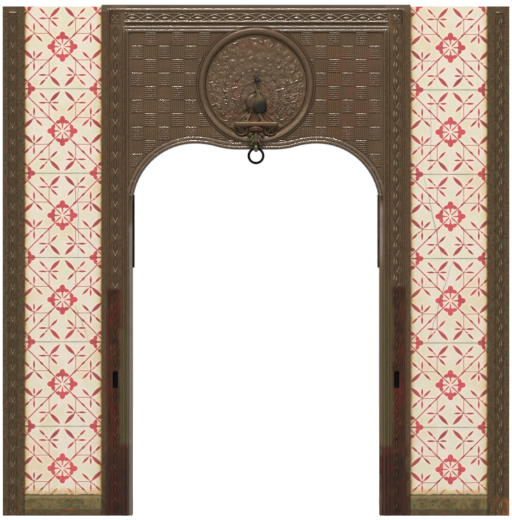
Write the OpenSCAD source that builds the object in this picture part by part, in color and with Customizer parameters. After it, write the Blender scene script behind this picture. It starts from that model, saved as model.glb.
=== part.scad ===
// Cast iron tiled fireplace front: an arched centre casting between two columns of tiles.
// Millimetres, +Z up. The ornament faces -Y, and X = 0 is the plane of symmetry.
// The origin is the middle of the whole front's box, on the hearth.

/* [Whole front] */
// Width over the two outer stiles
front_w = 915; // [905:1:925]
// Height of the centre casting
front_h = 923; // [920:1:935]
// Depth from the bird's breast to the back edges of the flanges
depth = 70; // [66:1:90]
// How far the bird and the bracket stand out in front of the iron face
relief_h = 12; // [11:0.5:12]
// Thickness of the cast plates
plate_t = 7; // [7:0.5:8]
// Thickness of the flanges that run back from the plates
flange_t = 6; // [5:0.5:6]

/* [Fire opening] */
// Width of the opening between the legs
opening_w = 447; // [440:1:450]
// Height of the arch at its two crowns
crown_z = 673.5; // [672:0.5:674]
// Radius of the arch's haunches
haunch_r = 113; // [110:1:116]
// How far the arch dips from its crowns to the middle
ogee_drop = 11; // [9:0.5:12]
// Length of the straight part of the arch under the bracket
cusp_w = 67; // [60:1:70]
// Width of the moulding round the arch
arch_mould_w = 12; // [12:0.5:13]

/* [Border] */
// Distance from a leg's outer edge to the inner edge of its beads
leg_face_w = 49; // [48:0.5:50]
// Distance from the edge to the outer bead
outer_bead_in = 12.3; // [12:0.1:13]
// Distance from the top edge to the outer bead
top_bead_in = 8.5; // [8:0.5:9]
// Distance from the edge to the first of the two inner beads
inner_bead_in = 40.2; // [40:0.1:41]
// Distance between the two inner beads
bead_pitch = 6.3; // [6:0.1:6.4]
// Radius of a bead
bead_r = 2.2; // [2:0.1:2.4]
// Depth of the ornament band below the face
band_sink = 1.5; // [1:0.1:2]
// Length of one link of the chain ornament
link_pitch = 29.4; // [28:0.1:32]
// Half the width of a link
link_w = 6.6; // [5:0.1:7]

/* [Basket weave] */
// Depth of the weave field below the face
field_sink = 2; // [1.6:0.1:2.4]
// Size of one square of the weave
weave_pitch = 24.4; // [24:0.1:25]
// Distance from the middle to the edge between two columns of squares
weave_edge_x = 104.9; // [104:0.1:106]
// Number of ribs in a square
weave_ribs = 7; // [5:1:7]
// Height of the level ribs above the field
weave_h = 1.2; // [1:0.1:2]

/* [Roundel] */
// Height of the roundel's centre
roundel_z = 778; // [776:0.5:779]
// Outer radius of the ring moulding
roundel_r = 107; // [106:0.5:108]
// Radius of the relief disc
disc_r = 92; // [91:0.5:92]
// Thickness of the relief disc
disc_t = 4; // [4:0.5:5]
// Number of feathers in the outer row of the fan
feathers = 21; // [15:2:23]

/* [Bracket and ring] */
// Height of the bracket's shelf
shelf_z = 711; // [710:0.5:712]
// Width of the bracket's shelf
shelf_w = 80; // [76:1:84]
// Outer diameter of the pull ring
ring_od = 31; // [29:0.5:33]
// Thickness of the ring's wire
ring_wire = 4.9; // [4.5:0.1:5.1]
// Height of the ring's centre
ring_z = 650; // [649:0.5:650.5]
// Radius of the hole in the bracket's eye
eye_r = 3.8; // [3.7:0.1:4]

/* [Stiles and rails] */
// Width of an outer stile
stile_w = 39.5; // [39:0.5:41]
// Height of an outer stile
stile_h = 920; // [918:1:920]
// Width of the ornament strip on a stile
stile_band_w = 14.5; // [12:0.5:16]
// Height of the bottom rail
rail_h = 36.5; // [34:0.5:38]
// How far the rail's ends run past the visible edge of the tiles
rail_lap = 2.7; // [2:0.1:3]

/* [Tiles] */
// Size of a tile
tile_size = 152; // [150:0.5:152.4]
// Thickness of a tile
tile_t = 9.5; // [9:0.5:10]
// Width of the joint between two tiles
tile_gap = 0.4; // [0.3:0.1:1]
// Height of the uppermost joint on the left
first_joint_z = 771.3; // [768:0.1:773]
// How much lower the joints of the right column are
right_drop = 2; // [0:0.5:4]
// Height of the lowest tiles' bottom edge above the hearth
ledge_z = 30; // [29:0.5:30]
// Thickness of the plaster bed behind the tiles
bed_t = 8; // [6:0.5:9]
// Thickness of the tray's plate
tray_t = 3; // [2.5:0.5:4]

/* [Hook slots and hood rails] */
// Width of a hook slot
slot_w = 9.6; // [9:0.1:10]
// Height of a hook slot
slot_h = 30; // [28:0.5:32]
// Height of a hook slot's centre
slot_z = 246; // [240:1:250]
// Distance from the middle to a hook slot
slot_x = 254; // [253.5:0.1:254.5]
// Depth of a hook slot's pocket behind the plate
pocket_d = 8; // [6:0.5:10]
// Lower end of a hood rail
hood_z0 = 448; // [445:1:460]
// Upper end of a hood rail
hood_z1 = 580; // [575:1:584]
// Thickness of a hood rail
hood_t = 3.6; // [3:0.1:5]

/* [Fixings] */
// Radius of the bolts
bolt_r = 3; // [3:0.5:3]
// Radius of the holes for wall ties in the stiles' side flanges
tie_r = 4.25; // [4:0.05:4.5]
// Height of the lower tie hole
tie_z0 = 150; // [140:1:160]
// Distance between the two tie holes
tie_pitch = 650; // [640:1:660]

/* [Hidden] */
$fn = 64;
LEFT = -1;
RIGHT = 1;
eps = 0.5;             // how far a cutter runs past a face, or one form sinks into another
fit = 0.05;            // clearance of a bolt in its tapped hole
slack = 0.3;           // clearance of a bolt in a plain hole

// Planes across the depth, from the front to the back
y_crest = -depth / 2;
y_face = y_crest + relief_h;
y_field = y_face + field_sink;
y_seat = y_face + 3;                 // floor under the bracket
y_lip = y_face + 4;                  // front edge of the opening's flange
y_plate_back = y_face + plate_t;     // also the face of the tiles
y_tile_back = y_plate_back + tile_t;
y_bed_back = y_tile_back + bed_t;
y_tray_back = y_bed_back + tray_t;
y_back = depth / 2;
y_disc = y_plate_back - disc_t;      // ground of the relief disc
y_disc_pad = y_plate_back + 5;       // back of the pad behind the disc

// Distances from the middle
x_open = opening_w / 2;
x_face = x_open + flange_t + 0.5;    // inner edge of a leg's face
x_leg = x_face + leg_face_w;         // outer edge of a leg
x_stile = front_w / 2 - stile_w;     // inner edge of a stile
x_tile = (x_leg + x_stile) / 2;
wall_t = 5;                          // the channel walls on both sides of the tiles
wall_gap = 0.6;
x_wall_in = x_tile - tile_size / 2 - wall_gap;    // face of the leg's channel wall
x_wall_out = x_tile + tile_size / 2 + wall_gap;   // face of the stile's channel wall
x_leg_boss = 246;
x_band = x_leg - 24.9;               // middle of the chain on a leg
band_z = front_h - 23.9;             // height of the chain along the top
x_stile_boss = front_w / 2 - 16;
boss_r = 7.5;
tray_bolt_z = [80, 470, 860];
hood_bolt_z = [hood_z0 + 20, hood_z0 + 90];
screw_z = [676, 698];                // the two screws of the bracket

// The arch: a quarter circle for each haunch, then two equal arcs down to the middle
x_haunch = x_open - haunch_r;
spring_z = crown_z - haunch_r;
x_cusp = cusp_w / 2;
cusp_z = crown_z - ogee_drop;
ogee_run = x_haunch - x_cusp;
ogee_r = (ogee_run * ogee_run + ogee_drop * ogee_drop) / (4 * ogee_drop);
convex_z = crown_z - ogee_r;         // centre of the outer arc
concave_z = cusp_z + ogee_r;         // centre of the inner arc
mould_z = spring_z + 17;             // where the arch moulding dies into the leg

ring_mid_r = (ring_od - ring_wire) / 2;
ring_y = y_face - 5;
pivot_z = ring_z + ring_mid_r;
eye_z = pivot_z + 0.5;
fan_z = 742;                         // where the feathers of the fan start
drop_z = 668;                        // lower end of the bracket's leaf drop
scroll_r = 15;
scroll_x = shelf_w / 2 - scroll_r;
scroll_z = shelf_z - 12;

function row_joint_z(side, k) =      // joint under tile k
    first_joint_z - (k - 1) * (tile_size + tile_gap) - (side == RIGHT ? right_drop : 0);
function tile_top(side, k) = k == 1 ? stile_h : row_joint_z(side, k - 1) - tile_gap / 2;
function tile_bottom(side, k) = k == 6 ? ledge_z : row_joint_z(side, k) + tile_gap / 2;

// A 2D shape drawn in the X-Z plane, given thickness from y0 at the front to y1 at the back
module slab(y0, y1) {
    translate([0, y1, 0]) rotate([90, 0, 0]) linear_extrude(y1 - y0) children();
}

// A block between two corners
module block(lo, hi) {
    translate(lo) cube(hi - lo);
}

// A round bar or hole between two planes across the depth
module rod_y(x, z, r, y0, y1) {
    translate([x, y1, z]) rotate([90, 0, 0]) cylinder(r = r, h = y1 - y0);
}

// A round bar or hole along X
module rod_x(y, z, r, x0, x1) {
    translate([x0, y, z]) rotate([0, 90, 0]) cylinder(r = r, h = x1 - x0);
}

module on_side(side) {
    mirror([side == LEFT ? 1 : 0, 0, 0]) children();
}

module both_sides() {
    children();
    mirror([1, 0, 0]) children();
}

// A pointed leaf between two points: the overlap of two equal circles
module leaf_2d(p, q, w) {
    run = q - p;
    half = norm(run) / 2;
    r = (half * half + w * w) / (2 * w);
    translate((p + q) / 2) rotate(atan2(run[1], run[0]))
        intersection() {
            translate([0, r - w]) circle(r = r, $fn = 90);
            translate([0, w - r]) circle(r = r, $fn = 90);
        }
}

// A chain of plaited links with a leaf in each, from one point to another
module chain_2d(p, q, w) {
    links = round(norm(q - p) / link_pitch);
    step = (q - p) / links;
    tip = step / norm(step);
    for (k = [0 : links - 1]) {
        difference() {
            leaf_2d(p + k * step - 0.6 * tip, p + (k + 1) * step + 0.6 * tip, w);
            leaf_2d(p + k * step + 2.4 * tip, p + (k + 1) * step - 2.4 * tip, w - 1.9);
        }
        leaf_2d(p + (k + 0.24) * step, p + (k + 0.76) * step, w * 0.36);
    }
}

// The ornament of the band along the top and down both legs
module border_chain_2d() {
    chain_2d([-238, band_z], [238, band_z], link_w);
    for (z = [band_z - 8.7, band_z + 7.3])
        translate([-238, z]) square([476, 1.4]);
    both_sides() {
        chain_2d([x_band, band_z - 13], [x_band, slot_z + 17], link_w - 0.5);
        chain_2d([x_band, slot_z - 17], [x_band, 3], link_w - 0.5);
        // a flower in a square at the corner
        translate([x_band, band_z]) {
            for (a = [45 : 90 : 315])
                leaf_2d(0.8 * [cos(a), sin(a)], 9.5 * [cos(a), sin(a)], 1.9);
            circle(r = 2.2, $fn = 24);
        }
    }
}

// The two triangles that share the line on which the two arcs of the arch meet
module convex_side_2d() {
    polygon([[x_haunch, convex_z], [x_haunch, concave_z], [x_cusp, concave_z]]);
}

module concave_side_2d() {
    polygon([[x_cusp, concave_z], [x_cusp, convex_z], [x_haunch, convex_z]]);
}

// Outline of the fire opening, grown by a distance
module opening_2d(grow) {
    translate([-x_open - grow, -eps]) square([2 * (x_open + grow), spring_z + eps]);
    translate([-x_cusp, spring_z - 1]) square([2 * x_cusp, cusp_z + grow - spring_z + 1]);
    both_sides() {
        intersection() {
            translate([x_haunch, spring_z]) circle(r = haunch_r + grow, $fn = 180);
            translate([x_haunch, spring_z]) square(haunch_r + grow + 1);
        }
        intersection() {
            translate([x_haunch, convex_z]) circle(r = ogee_r + grow, $fn = 180);
            convex_side_2d();
        }
        difference() {
            concave_side_2d();
            translate([x_cusp, concave_z]) circle(r = ogee_r - grow, $fn = 180);
        }
    }
}

// A band that follows the arch above a given height
module arch_band_2d(inner, outer, from_z) {
    intersection() {
        difference() {
            opening_2d(outer);
            opening_2d(inner);
        }
        translate([-x_leg, from_z]) square([2 * x_leg, 200]);
    }
}

// A hoop of round bar about an axis along the depth
module hoop(x, z, hoop_r, r, y) {
    translate([x, y, z]) rotate([90, 0, 0])
        rotate_extrude($fn = 180) translate([hoop_r, 0]) circle(r = r, $fn = 24);
}

// A round bead along the arch, at a distance from the opening
module arch_bead(off, r, y) {
    both_sides() {
        intersection() {
            hoop(x_haunch, spring_z, haunch_r + off, r, y);
            block([x_haunch, y - 2 * r, mould_z], [x_leg, y + 2 * r, front_h]);
        }
        intersection() {
            hoop(x_haunch, convex_z, ogee_r + off, r, y);
            slab(y - 2 * r, y + 2 * r) convex_side_2d();
        }
        intersection() {
            hoop(x_cusp, concave_z, ogee_r - off, r, y);
            slab(y - 2 * r, y + 2 * r) concave_side_2d();
        }
    }
    rod_x(y, cusp_z + off, r, -x_cusp, x_cusp);
}

// A bead that runs up one leg, across the top and down the other leg
module border_bead(side_in, top_in, r) {
    both_sides()
        translate([x_leg - side_in, y_face, 0]) cylinder(r = r, h = front_h - top_in + r);
    rod_x(y_face, front_h - top_in, r, -x_leg + side_in - r, x_leg - side_in + r);
}

// The ribs of the basket weave on one side: squares of level ribs, or those of upright ribs
module weave_ribs_2d(level) {
    rib = weave_pitch / weave_ribs;
    for (col = [-4 : 5], row = [0 : 11])
        if (((row + col) % 2 == 0) == level)
            translate([weave_edge_x + (col - 1) * weave_pitch,
                       front_h - leg_face_w - (row + 1) * weave_pitch])
                for (k = [0 : weave_ribs - 1])
                    if (level)
                        translate([0.6, k * rib + 0.4]) square([weave_pitch - 1.2, rib - 0.8]);
                    else
                        translate([k * rib + 0.4, 1.6]) square([rib - 0.8, weave_pitch - 3.2]);
}

// Where the weave shows: inside the beads, outside the roundel and above the arch moulding
module weave_field_2d(inset) {
    difference() {
        translate([-x_face + inset, spring_z])
            square([2 * (x_face - inset), front_h - leg_face_w - inset - spring_z]);
        opening_2d(arch_mould_w + inset);
        translate([0, roundel_z]) circle(r = roundel_r + inset, $fn = 180);
    }
}

// Ring moulding of the roundel: a broad round between two fillets
module roundel_ring() {
    mid = (roundel_r + disc_r) / 2 - 1;
    translate([0, y_face, roundel_z]) rotate([90, 0, 0])
        rotate_extrude($fn = 180) {
            translate([disc_r, -3]) square([roundel_r - disc_r, 3.6]);
            translate([mid, 0]) circle(r = (roundel_r - disc_r) / 2 - 2, $fn = 48);
            translate([roundel_r - 1.5, 0]) circle(r = 1.5, $fn = 24);
        }
}

// Footprint of the console bracket on the plate: shelf, side scrolls and leaf drop
module bracket_2d(grow) {
    translate([-shelf_w / 2 - grow, shelf_z - 6 - grow])
        square([shelf_w + 2 * grow, 6 + 2 * grow]);
    polygon([
        [-22 - grow, shelf_z - 5], [22 + grow, shelf_z - 5], [17 + grow, 690], [13 + grow, 680],
        [10 + grow, drop_z - grow], [-10 - grow, drop_z - grow], [-13 - grow, 680], [-17 - grow, 690]
    ]);
    translate([-3 - grow, cusp_z - 8]) square([6 + 2 * grow, 20]);
    both_sides() translate([scroll_x, scroll_z]) circle(r = scroll_r + grow);
}

module leg_bosses() {
    for (z = tray_bolt_z)
        rod_y(x_leg_boss, z, boss_r, y_plate_back - eps, y_bed_back);
}

module arch_plate() {
    color([0.35, 0.28, 0.21])
    difference() {
        union() {
            // face plate
            slab(y_face, y_plate_back) difference() {
                translate([-x_leg, 0]) square([2 * x_leg, front_h]);
                opening_2d(flange_t + 0.5);
            }
            // flange round the opening, set back from the face
            slab(y_lip, y_back) intersection() {
                difference() {
                    opening_2d(flange_t + 1);
                    opening_2d(0);
                }
                translate([-x_leg, 0]) square([2 * x_leg, front_h]);
            }
            // arch moulding: a bead at the edge, a groove and an outer bead
            slab(y_face + 1.7, y_lip + eps) arch_band_2d(2.4, arch_mould_w, mould_z);
            arch_bead(3.3, 2.1, y_face + 1.2);
            arch_bead(9.6, 2.1, y_face + 0.9);
            // flange along the top
            block([-x_wall_in, y_plate_back - eps, front_h - flange_t],
                  [x_wall_in, y_bed_back + 10, front_h]);
            both_sides() {
                // wall of the tile channel
                block([x_wall_in - wall_t, y_plate_back - eps, 0], [x_wall_in, y_bed_back, front_h]);
                leg_bosses();
                // wall and back of the pocket behind a hook slot
                block([slot_x - slot_w / 2 - 3.2, y_plate_back - eps, slot_z - slot_h / 2 - 3.2],
                      [slot_x + slot_w / 2 + 3.2, y_plate_back + pocket_d + 3, slot_z + slot_h / 2 + 3.2]);
            }
            border_bead(outer_bead_in, top_bead_in, bead_r - 0.4);
            border_bead(inner_bead_in, inner_bead_in, bead_r);
            border_bead(inner_bead_in + bead_pitch, inner_bead_in + bead_pitch, bead_r);
            roundel_ring();
            // pad behind the relief disc
            rod_y(0, roundel_z, roundel_r - 6, y_plate_back - eps, y_disc_pad);
        }
        // weave field
        slab(y_face - eps, y_field) weave_field_2d(0);
        // ornament band
        slab(y_face - eps, y_face + band_sink) difference() {
            translate([-x_leg + outer_bead_in + 1.6, -eps])
                square([2 * (x_leg - outer_bead_in - 1.6), front_h - top_bead_in - 1.6 + eps]);
            translate([-x_leg + inner_bead_in - 2, -2 * eps])
                square([2 * (x_leg - inner_bead_in + 2), front_h - inner_bead_in + 2 + 2 * eps]);
        }
        // seat of the relief disc
        rod_y(0, roundel_z, disc_r, y_crest - eps, y_plate_back);
        // seat of the bracket
        slab(y_crest - eps, y_seat) bracket_2d(0.3);
        both_sides() {
            // slots for the hooks of the fire's front
            block([slot_x - slot_w / 2, y_face - eps, slot_z - slot_h / 2],
                  [slot_x + slot_w / 2, y_plate_back + pocket_d, slot_z + slot_h / 2]);
            // step for the end of the bottom rail
            block([x_leg - rail_lap, y_face - eps, -eps], [x_leg + eps, y_plate_back + eps, rail_h + 0.3]);
            for (z = tray_bolt_z)
                rod_y(x_leg_boss, z, bolt_r + fit, y_plate_back + 2, y_bed_back + eps);
            rod_x(y_plate_back + 8, 15, bolt_r + slack, x_wall_in - wall_t - eps, x_wall_in + eps);
            for (z = hood_bolt_z)
                rod_x(y_plate_back + 20, z, bolt_r + slack, x_open - eps, x_open + flange_t + 1.5);
            for (a = [40, 140])
                rod_y(80 * cos(a), roundel_z + 80 * sin(a), 2 + fit, y_plate_back - eps, y_disc_pad + eps);
        }
        for (z = screw_z)
            rod_y(0, z, 2.5 + slack, y_seat - eps, y_disc_pad + eps);
        rod_y(0, fan_z, bolt_r + slack, y_plate_back - eps, y_disc_pad + eps);
    }
    color([0.35, 0.28, 0.21])
    slab(y_face + 0.2, y_face + band_sink + 0.2) border_chain_2d();
    color([0.33, 0.26, 0.2])
    for (level = [true, false])
        slab(y_field - weave_h + (level ? 0 : 0.5), y_field + 0.2) intersection() {
            weave_field_2d(1);
            both_sides() weave_ribs_2d(level);
        }
}

// A row of feathers: part 0 is the vanes, 1 the quills, 2 the eyes and 3 their middles
module feather_row_2d(row, part) {
    w = 6.2 - 0.7 * row;
    from = 46 - 13 * row;
    for (i = [0 : feathers - 1 - row % 2]) {
        a = -26 + 232 * (i + 0.5 * (row % 2)) / (feathers - 1);
        to = fan_reach(a) * (1 - 0.26 * row);
        translate([0, fan_z]) rotate(a)
            if (part == 0)
                leaf_2d([from, 0], [to, 0], w);
            else if (part == 1)
                translate([from + 6, -0.5]) square([to - from - 12, 1]);
            else
                translate([to - w - 4, 0]) circle(r = w - (part == 2 ? 1.8 : 3.6), $fn = 32);
    }
}

// The disc behind the bird: three rows of feathers that open out like a fan
module roundel_plaque() {
    color([0.38, 0.3, 0.22])
    difference() {
        union() {
            rod_y(0, roundel_z, disc_r - 0.2, y_disc, y_plate_back);
            for (row = [0 : 2], part = [0 : 3])
                slab(y_disc - 0.8 * row - [0.8, 1.2, 1.5, 2.1][part], y_disc + 0.2)
                    feather_row_2d(row, part);
        }
        for (a = [40, 140])
            both_sides()
                rod_y(80 * cos(a), roundel_z + 80 * sin(a), 2 + fit, y_disc - 4, y_plate_back + eps);
        for (z = screw_z)
            rod_y(0, z, 2.5 + slack, y_disc - 4, y_plate_back + eps);
        rod_y(0, fan_z, bolt_r + slack, y_disc - 4, y_plate_back + eps);
        slab(y_crest - eps, y_seat) bracket_2d(0.3);
    }
}

// Distance from the start of the feathers to the rim of the disc, in a direction
function fan_reach(a) =
    let (d = roundel_z - fan_z, r = disc_r - 1.5)
    d * sin(a) + sqrt(r * r - d * d * cos(a) * cos(a));

// A round bar between two points
module bar(p, q, r1, r2) {
    run = q - p;
    translate(p) rotate([0, acos(run[2] / norm(run)), atan2(run[1], run[0])])
        cylinder(r1 = r1, r2 = r2, h = norm(run), $fn = 24);
}

module bird_figure() {
    neck = [-1, y_disc - 9, fan_z + 33];
    head = [-2.5, y_disc - 8, fan_z + 42];
    color([0.32, 0.27, 0.2]) {
        difference() {
            union() {
                // body, with the breast to the front
                hull() {
                    translate([3.5, y_disc - 3.6, fan_z - 1]) sphere(r = 11, $fn = 40);
                    translate([-6, y_disc - 2, fan_z + 5]) sphere(r = 10, $fn = 32);
                    translate([4, y_disc - 3, fan_z + 13]) sphere(r = 8, $fn = 32);
                }
                // neck and head
                hull() {
                    translate([2, y_disc - 4, fan_z + 15]) sphere(r = 7, $fn = 32);
                    translate(neck) sphere(r = 2.8, $fn = 24);
                }
                hull() {
                    translate(neck) sphere(r = 2.8, $fn = 24);
                    translate(head) sphere(r = 3.9, $fn = 32);
                }
                bar(head, head + [-9, -1, -3], 2, 0.4);
                for (x = [-3, 0, 3])
                    bar(head, head + [x, 0, 9], 0.7, 0.7);
                // folded wings
                slab(y_disc - 8.5, y_disc) leaf_2d([-3, fan_z + 16], [-17, fan_z - 15], 6);
                slab(y_disc - 7.5, y_disc) leaf_2d([9, fan_z + 15], [19, fan_z - 13], 5);
                // legs and feet
                bar([-4.5, y_disc - 4, fan_z - 8], [-17, y_disc - 5, shelf_z - 1], 2.2, 1.5);
                bar([5, y_disc - 4, fan_z - 10], [13.5, y_disc - 5, shelf_z - 1], 2.2, 1.5);
                block([-22, y_disc - 9, shelf_z - 1], [-13.5, y_disc, shelf_z + 2]);
                block([10, y_disc - 9, shelf_z - 1], [18.5, y_disc, shelf_z + 2]);
            }
            // flat back that lies on the disc, and flat feet on the shelf
            block([-30, y_disc, shelf_z - 5], [30, y_disc + 20, roundel_z + 20]);
            block([-30, y_crest - 5, shelf_z - 5], [30, y_disc + eps, shelf_z]);
            // clear of the feathers outside the middle
            slab(y_disc - 3.9, y_disc + eps) difference() {
                translate([-40, fan_z - 18]) square([80, 80]);
                translate([0, fan_z]) circle(r = 19.8);
            }
        }
        rod_y(0, fan_z, bolt_r, y_disc - 2, y_disc_pad + 8);
    }
}

module bird_stud_nut() {
    color("dimgray")
    difference() {
        translate([0, y_disc_pad + 5, fan_z]) rotate([90, 0, 0]) cylinder(r = 6, h = 5, $fn = 6);
        rod_y(0, fan_z, bolt_r + fit, y_disc_pad - eps, y_disc_pad + 6);
    }
}

// A half ring of the scroll: its middle is dx from the scroll's middle
module scroll_half(dx, r, lower) {
    translate([scroll_x + dx, y_seat, scroll_z]) rotate([90, 0, 0]) rotate([0, 0, lower ? 186 : 6])
        rotate_extrude(angle = 168) translate([r - 1.6, 0]) square([3.2, 6.5]);
}

// Shelf under the bird, with a scroll at each side, a drop of leaves and the eye of the ring
module console_bracket() {
    color([0.34, 0.28, 0.2])
    difference() {
        union() {
            block([-shelf_w / 2, y_crest, shelf_z - 4], [shelf_w / 2, y_seat, shelf_z]);
            block([-shelf_w / 2 + 2, y_crest + 2.5, shelf_z - 6], [shelf_w / 2 - 2, y_seat, shelf_z - 3]);
            block([-20, y_seat - 9, shelf_z - 10], [20, y_seat, shelf_z - 5]);
            // drop: a plate with five leaves that spread from under the shelf
            slab(y_seat - 2.5, y_seat) intersection() {
                bracket_2d(-0.4);
                translate([-shelf_w, cusp_z - 1]) square([2 * shelf_w, shelf_z - cusp_z]);
            }
            slab(y_seat - 6, y_seat) both_sides() leaf_2d([3, 705], [16.5, 688], 4.5);
            slab(y_seat - 8, y_seat) both_sides() leaf_2d([2, 704], [11, 677], 5);
            slab(y_seat - 10.5, y_seat) leaf_2d([0, 706], [0, 669.5], 5.2);
            slab(y_seat - 11.5, y_seat) translate([-0.7, 675]) square([1.4, 30]);
            both_sides() {
                // scroll that winds in from the shelf's end, with a bead at each joint
                scroll_half(0, 12.6, true);
                scroll_half(4, 8.6, false);
                scroll_half(0.6, 5.2, true);
                for (dx = [-12.6, 12.6, -4.6])
                    rod_y(scroll_x + dx, scroll_z, 2.3, y_seat - 7.5, y_seat);
                rod_y(scroll_x + 2.8, scroll_z + 0.8, 3, y_seat - 8.5, y_seat);
            }
            // neck and eye
            block([-3, ring_y - 2, eye_z], [3, y_seat, 676]);
            rod_x(ring_y, eye_z, eye_r + 3, -3, 3);
        }
        rod_x(ring_y, eye_z, eye_r, -4, 4);
        for (z = screw_z)
            rod_y(0, z, 2.5 + fit, y_seat - 5.5, y_seat + eps);
        // room for the ring's wire on both sides of the eye
        translate([0, ring_y, ring_z]) rotate([90, 0, 0]) rotate_extrude($fn = 96)
            translate([ring_mid_r, 0]) circle(r = ring_wire / 2 + 0.45, $fn = 32);
    }
}

module pull_ring() {
    color([0.08, 0.08, 0.08])
    translate([0, ring_y, ring_z]) rotate([90, 0, 0]) rotate_extrude($fn = 96)
        translate([ring_mid_r, 0]) circle(r = ring_wire / 2, $fn = 32);
}

module plaque_rivets() {
    color("dimgray")
    both_sides() {
        rod_y(80 * cos(40), roundel_z + 80 * sin(40), 2, y_disc, y_disc_pad + eps);
        rod_y(80 * cos(40), roundel_z + 80 * sin(40), 4, y_disc_pad, y_disc_pad + 2.5);
    }
}

module bracket_screws() {
    color("dimgray")
    for (z = screw_z) {
        rod_y(0, z, 2.5, y_seat - 5, y_disc_pad + eps);
        rod_y(0, z, 5, y_disc_pad, y_disc_pad + 3.5);
    }
}

// Outer stile: a face strip with an ornament band, a side flange and the outer channel wall
module outer_stile(side) {
    x_strip = front_w / 2 - 18.4;
    color([0.36, 0.3, 0.22])
    on_side(side) difference() {
        union() {
            block([x_stile, y_face + 1, 0], [front_w / 2, y_plate_back, stile_h]);
            block([front_w / 2 - flange_t, y_plate_back - eps, 0], [front_w / 2, y_back, stile_h]);
            block([x_wall_out, y_plate_back - eps, 0], [x_wall_out + wall_t, y_bed_back, stile_h]);
            for (z = tray_bolt_z)
                rod_y(x_stile_boss, z, boss_r, y_plate_back - eps, y_bed_back);
            for (x = [x_strip - stile_band_w / 2, x_strip + stile_band_w / 2])
                translate([x, y_face + 1, 0]) cylinder(r = 1.2, h = stile_h - 12);
        }
        block([x_strip - stile_band_w / 2, y_face - eps, -eps],
              [x_strip + stile_band_w / 2, y_face + 1 + band_sink, stile_h - 12]);
        block([x_stile - eps, y_face - eps, -eps], [x_stile + rail_lap, y_plate_back + eps, rail_h + 0.3]);
        for (z = tray_bolt_z)
            rod_y(x_stile_boss, z, bolt_r + fit, y_plate_back + 2, y_bed_back + eps);
        rod_x(y_plate_back + 8, 15, bolt_r + slack, x_wall_out - eps, x_wall_out + wall_t + eps);
        for (z = [tie_z0, tie_z0 + tie_pitch])
            rod_x(y_back - 13, z, tie_r, front_w / 2 - flange_t - eps, front_w / 2 + eps);
    }
    color([0.36, 0.3, 0.22])
    on_side(side) slab(y_face + 1.2, y_face + band_sink + 1.2)
        chain_2d([x_strip, 2], [x_strip, stile_h - 15], stile_band_w / 2 - 1.8);
}

// Bottom rail: front bar, ledge under the tiles, sole on the hearth and a lug at each end
module bottom_rail(side) {
    x0 = x_leg - rail_lap + 0.15;
    x1 = x_stile + rail_lap - 0.15;
    color([0.42, 0.38, 0.28])
    on_side(side) difference() {
        union() {
            block([x0, y_face + 1.5, 0], [x1, y_plate_back, rail_h]);
            block([x_wall_in + 0.2, y_plate_back - eps, ledge_z - 5.5],
                  [x_wall_out - 0.2, y_bed_back, ledge_z]);
            block([x_wall_in + 0.2, y_plate_back - eps, 0], [x_wall_out - 0.2, y_back, 6]);
            block([x_wall_in + 0.2, y_plate_back - eps, 5], [x_wall_in + 14, y_bed_back, ledge_z - 5]);
            block([x_wall_out - 14, y_plate_back - eps, 5], [x_wall_out - 0.2, y_bed_back, ledge_z - 5]);
        }
        // the ledge and the sole stop at the backs of the leg and the stile
        block([x_wall_in - eps, y_plate_back - 2 * eps, -eps], [x0 - 0.16, y_plate_back, rail_h + eps]);
        block([x1 + 0.16, y_plate_back - 2 * eps, -eps], [x_wall_out + eps, y_plate_back, rail_h + eps]);
        rod_x(y_plate_back + 8, 15, bolt_r + fit, x_wall_in - eps, x_wall_in + 12);
        rod_x(y_plate_back + 8, 15, bolt_r + fit, x_wall_out - 12, x_wall_out + eps);
    }
}

module rail_bolts(side) {
    color("dimgray")
    on_side(side) {
        rod_x(y_plate_back + 8, 15, bolt_r, x_wall_in - wall_t - eps, x_wall_in + 11);
        translate([x_wall_in - wall_t - 4, y_plate_back + 8, 15]) rotate([0, 90, 0])
            cylinder(r = 5.8, h = 4, $fn = 6);
        rod_x(y_plate_back + 8, 15, bolt_r, x_wall_out - 11, x_wall_out + wall_t + eps);
        translate([x_wall_out + wall_t, y_plate_back + 8, 15]) rotate([0, 90, 0])
            cylinder(r = 5.8, h = 4, $fn = 6);
    }
}

module tile(side, k) {
    color([0.9, 0.86, 0.78])
    on_side(side)
        block([x_tile - tile_size / 2, y_plate_back, tile_bottom(side, k)],
              [x_tile + tile_size / 2, y_tile_back, tile_top(side, k)]);
}

module plaster_bed(side) {
    color([0.8, 0.78, 0.72])
    on_side(side)
        block([x_tile - tile_size / 2, y_tile_back, ledge_z],
              [x_tile + tile_size / 2, y_bed_back, stile_h - 2]);
}

// Back plate of the tile channel, with three pairs of bolt tabs
module tile_tray(side) {
    x0 = x_wall_in - wall_t;
    x1 = x_wall_out + wall_t;
    color([0.25, 0.22, 0.2])
    on_side(side) difference() {
        union() {
            block([x0, y_bed_back, ledge_z - 5], [x1, y_tray_back, stile_h - 8]);
            for (z = tray_bolt_z)
                slab(y_bed_back, y_tray_back)
                    translate([x_leg_boss - 9, z - 12]) square([x_stile_boss - x_leg_boss + 16, 24]);
        }
        for (z = tray_bolt_z, x = [x_leg_boss, x_stile_boss])
            rod_y(x, z, bolt_r + slack, y_bed_back - eps, y_tray_back + eps);
    }
}

module tray_bolts(side) {
    color("dimgray")
    on_side(side) for (z = tray_bolt_z, x = [x_leg_boss, x_stile_boss]) {
        rod_y(x, z, bolt_r, y_plate_back + 3, y_tray_back + eps);
        translate([x, y_tray_back + 4, z]) rotate([90, 0, 0]) cylinder(r = 5.8, h = 4, $fn = 6);
    }
}

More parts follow.
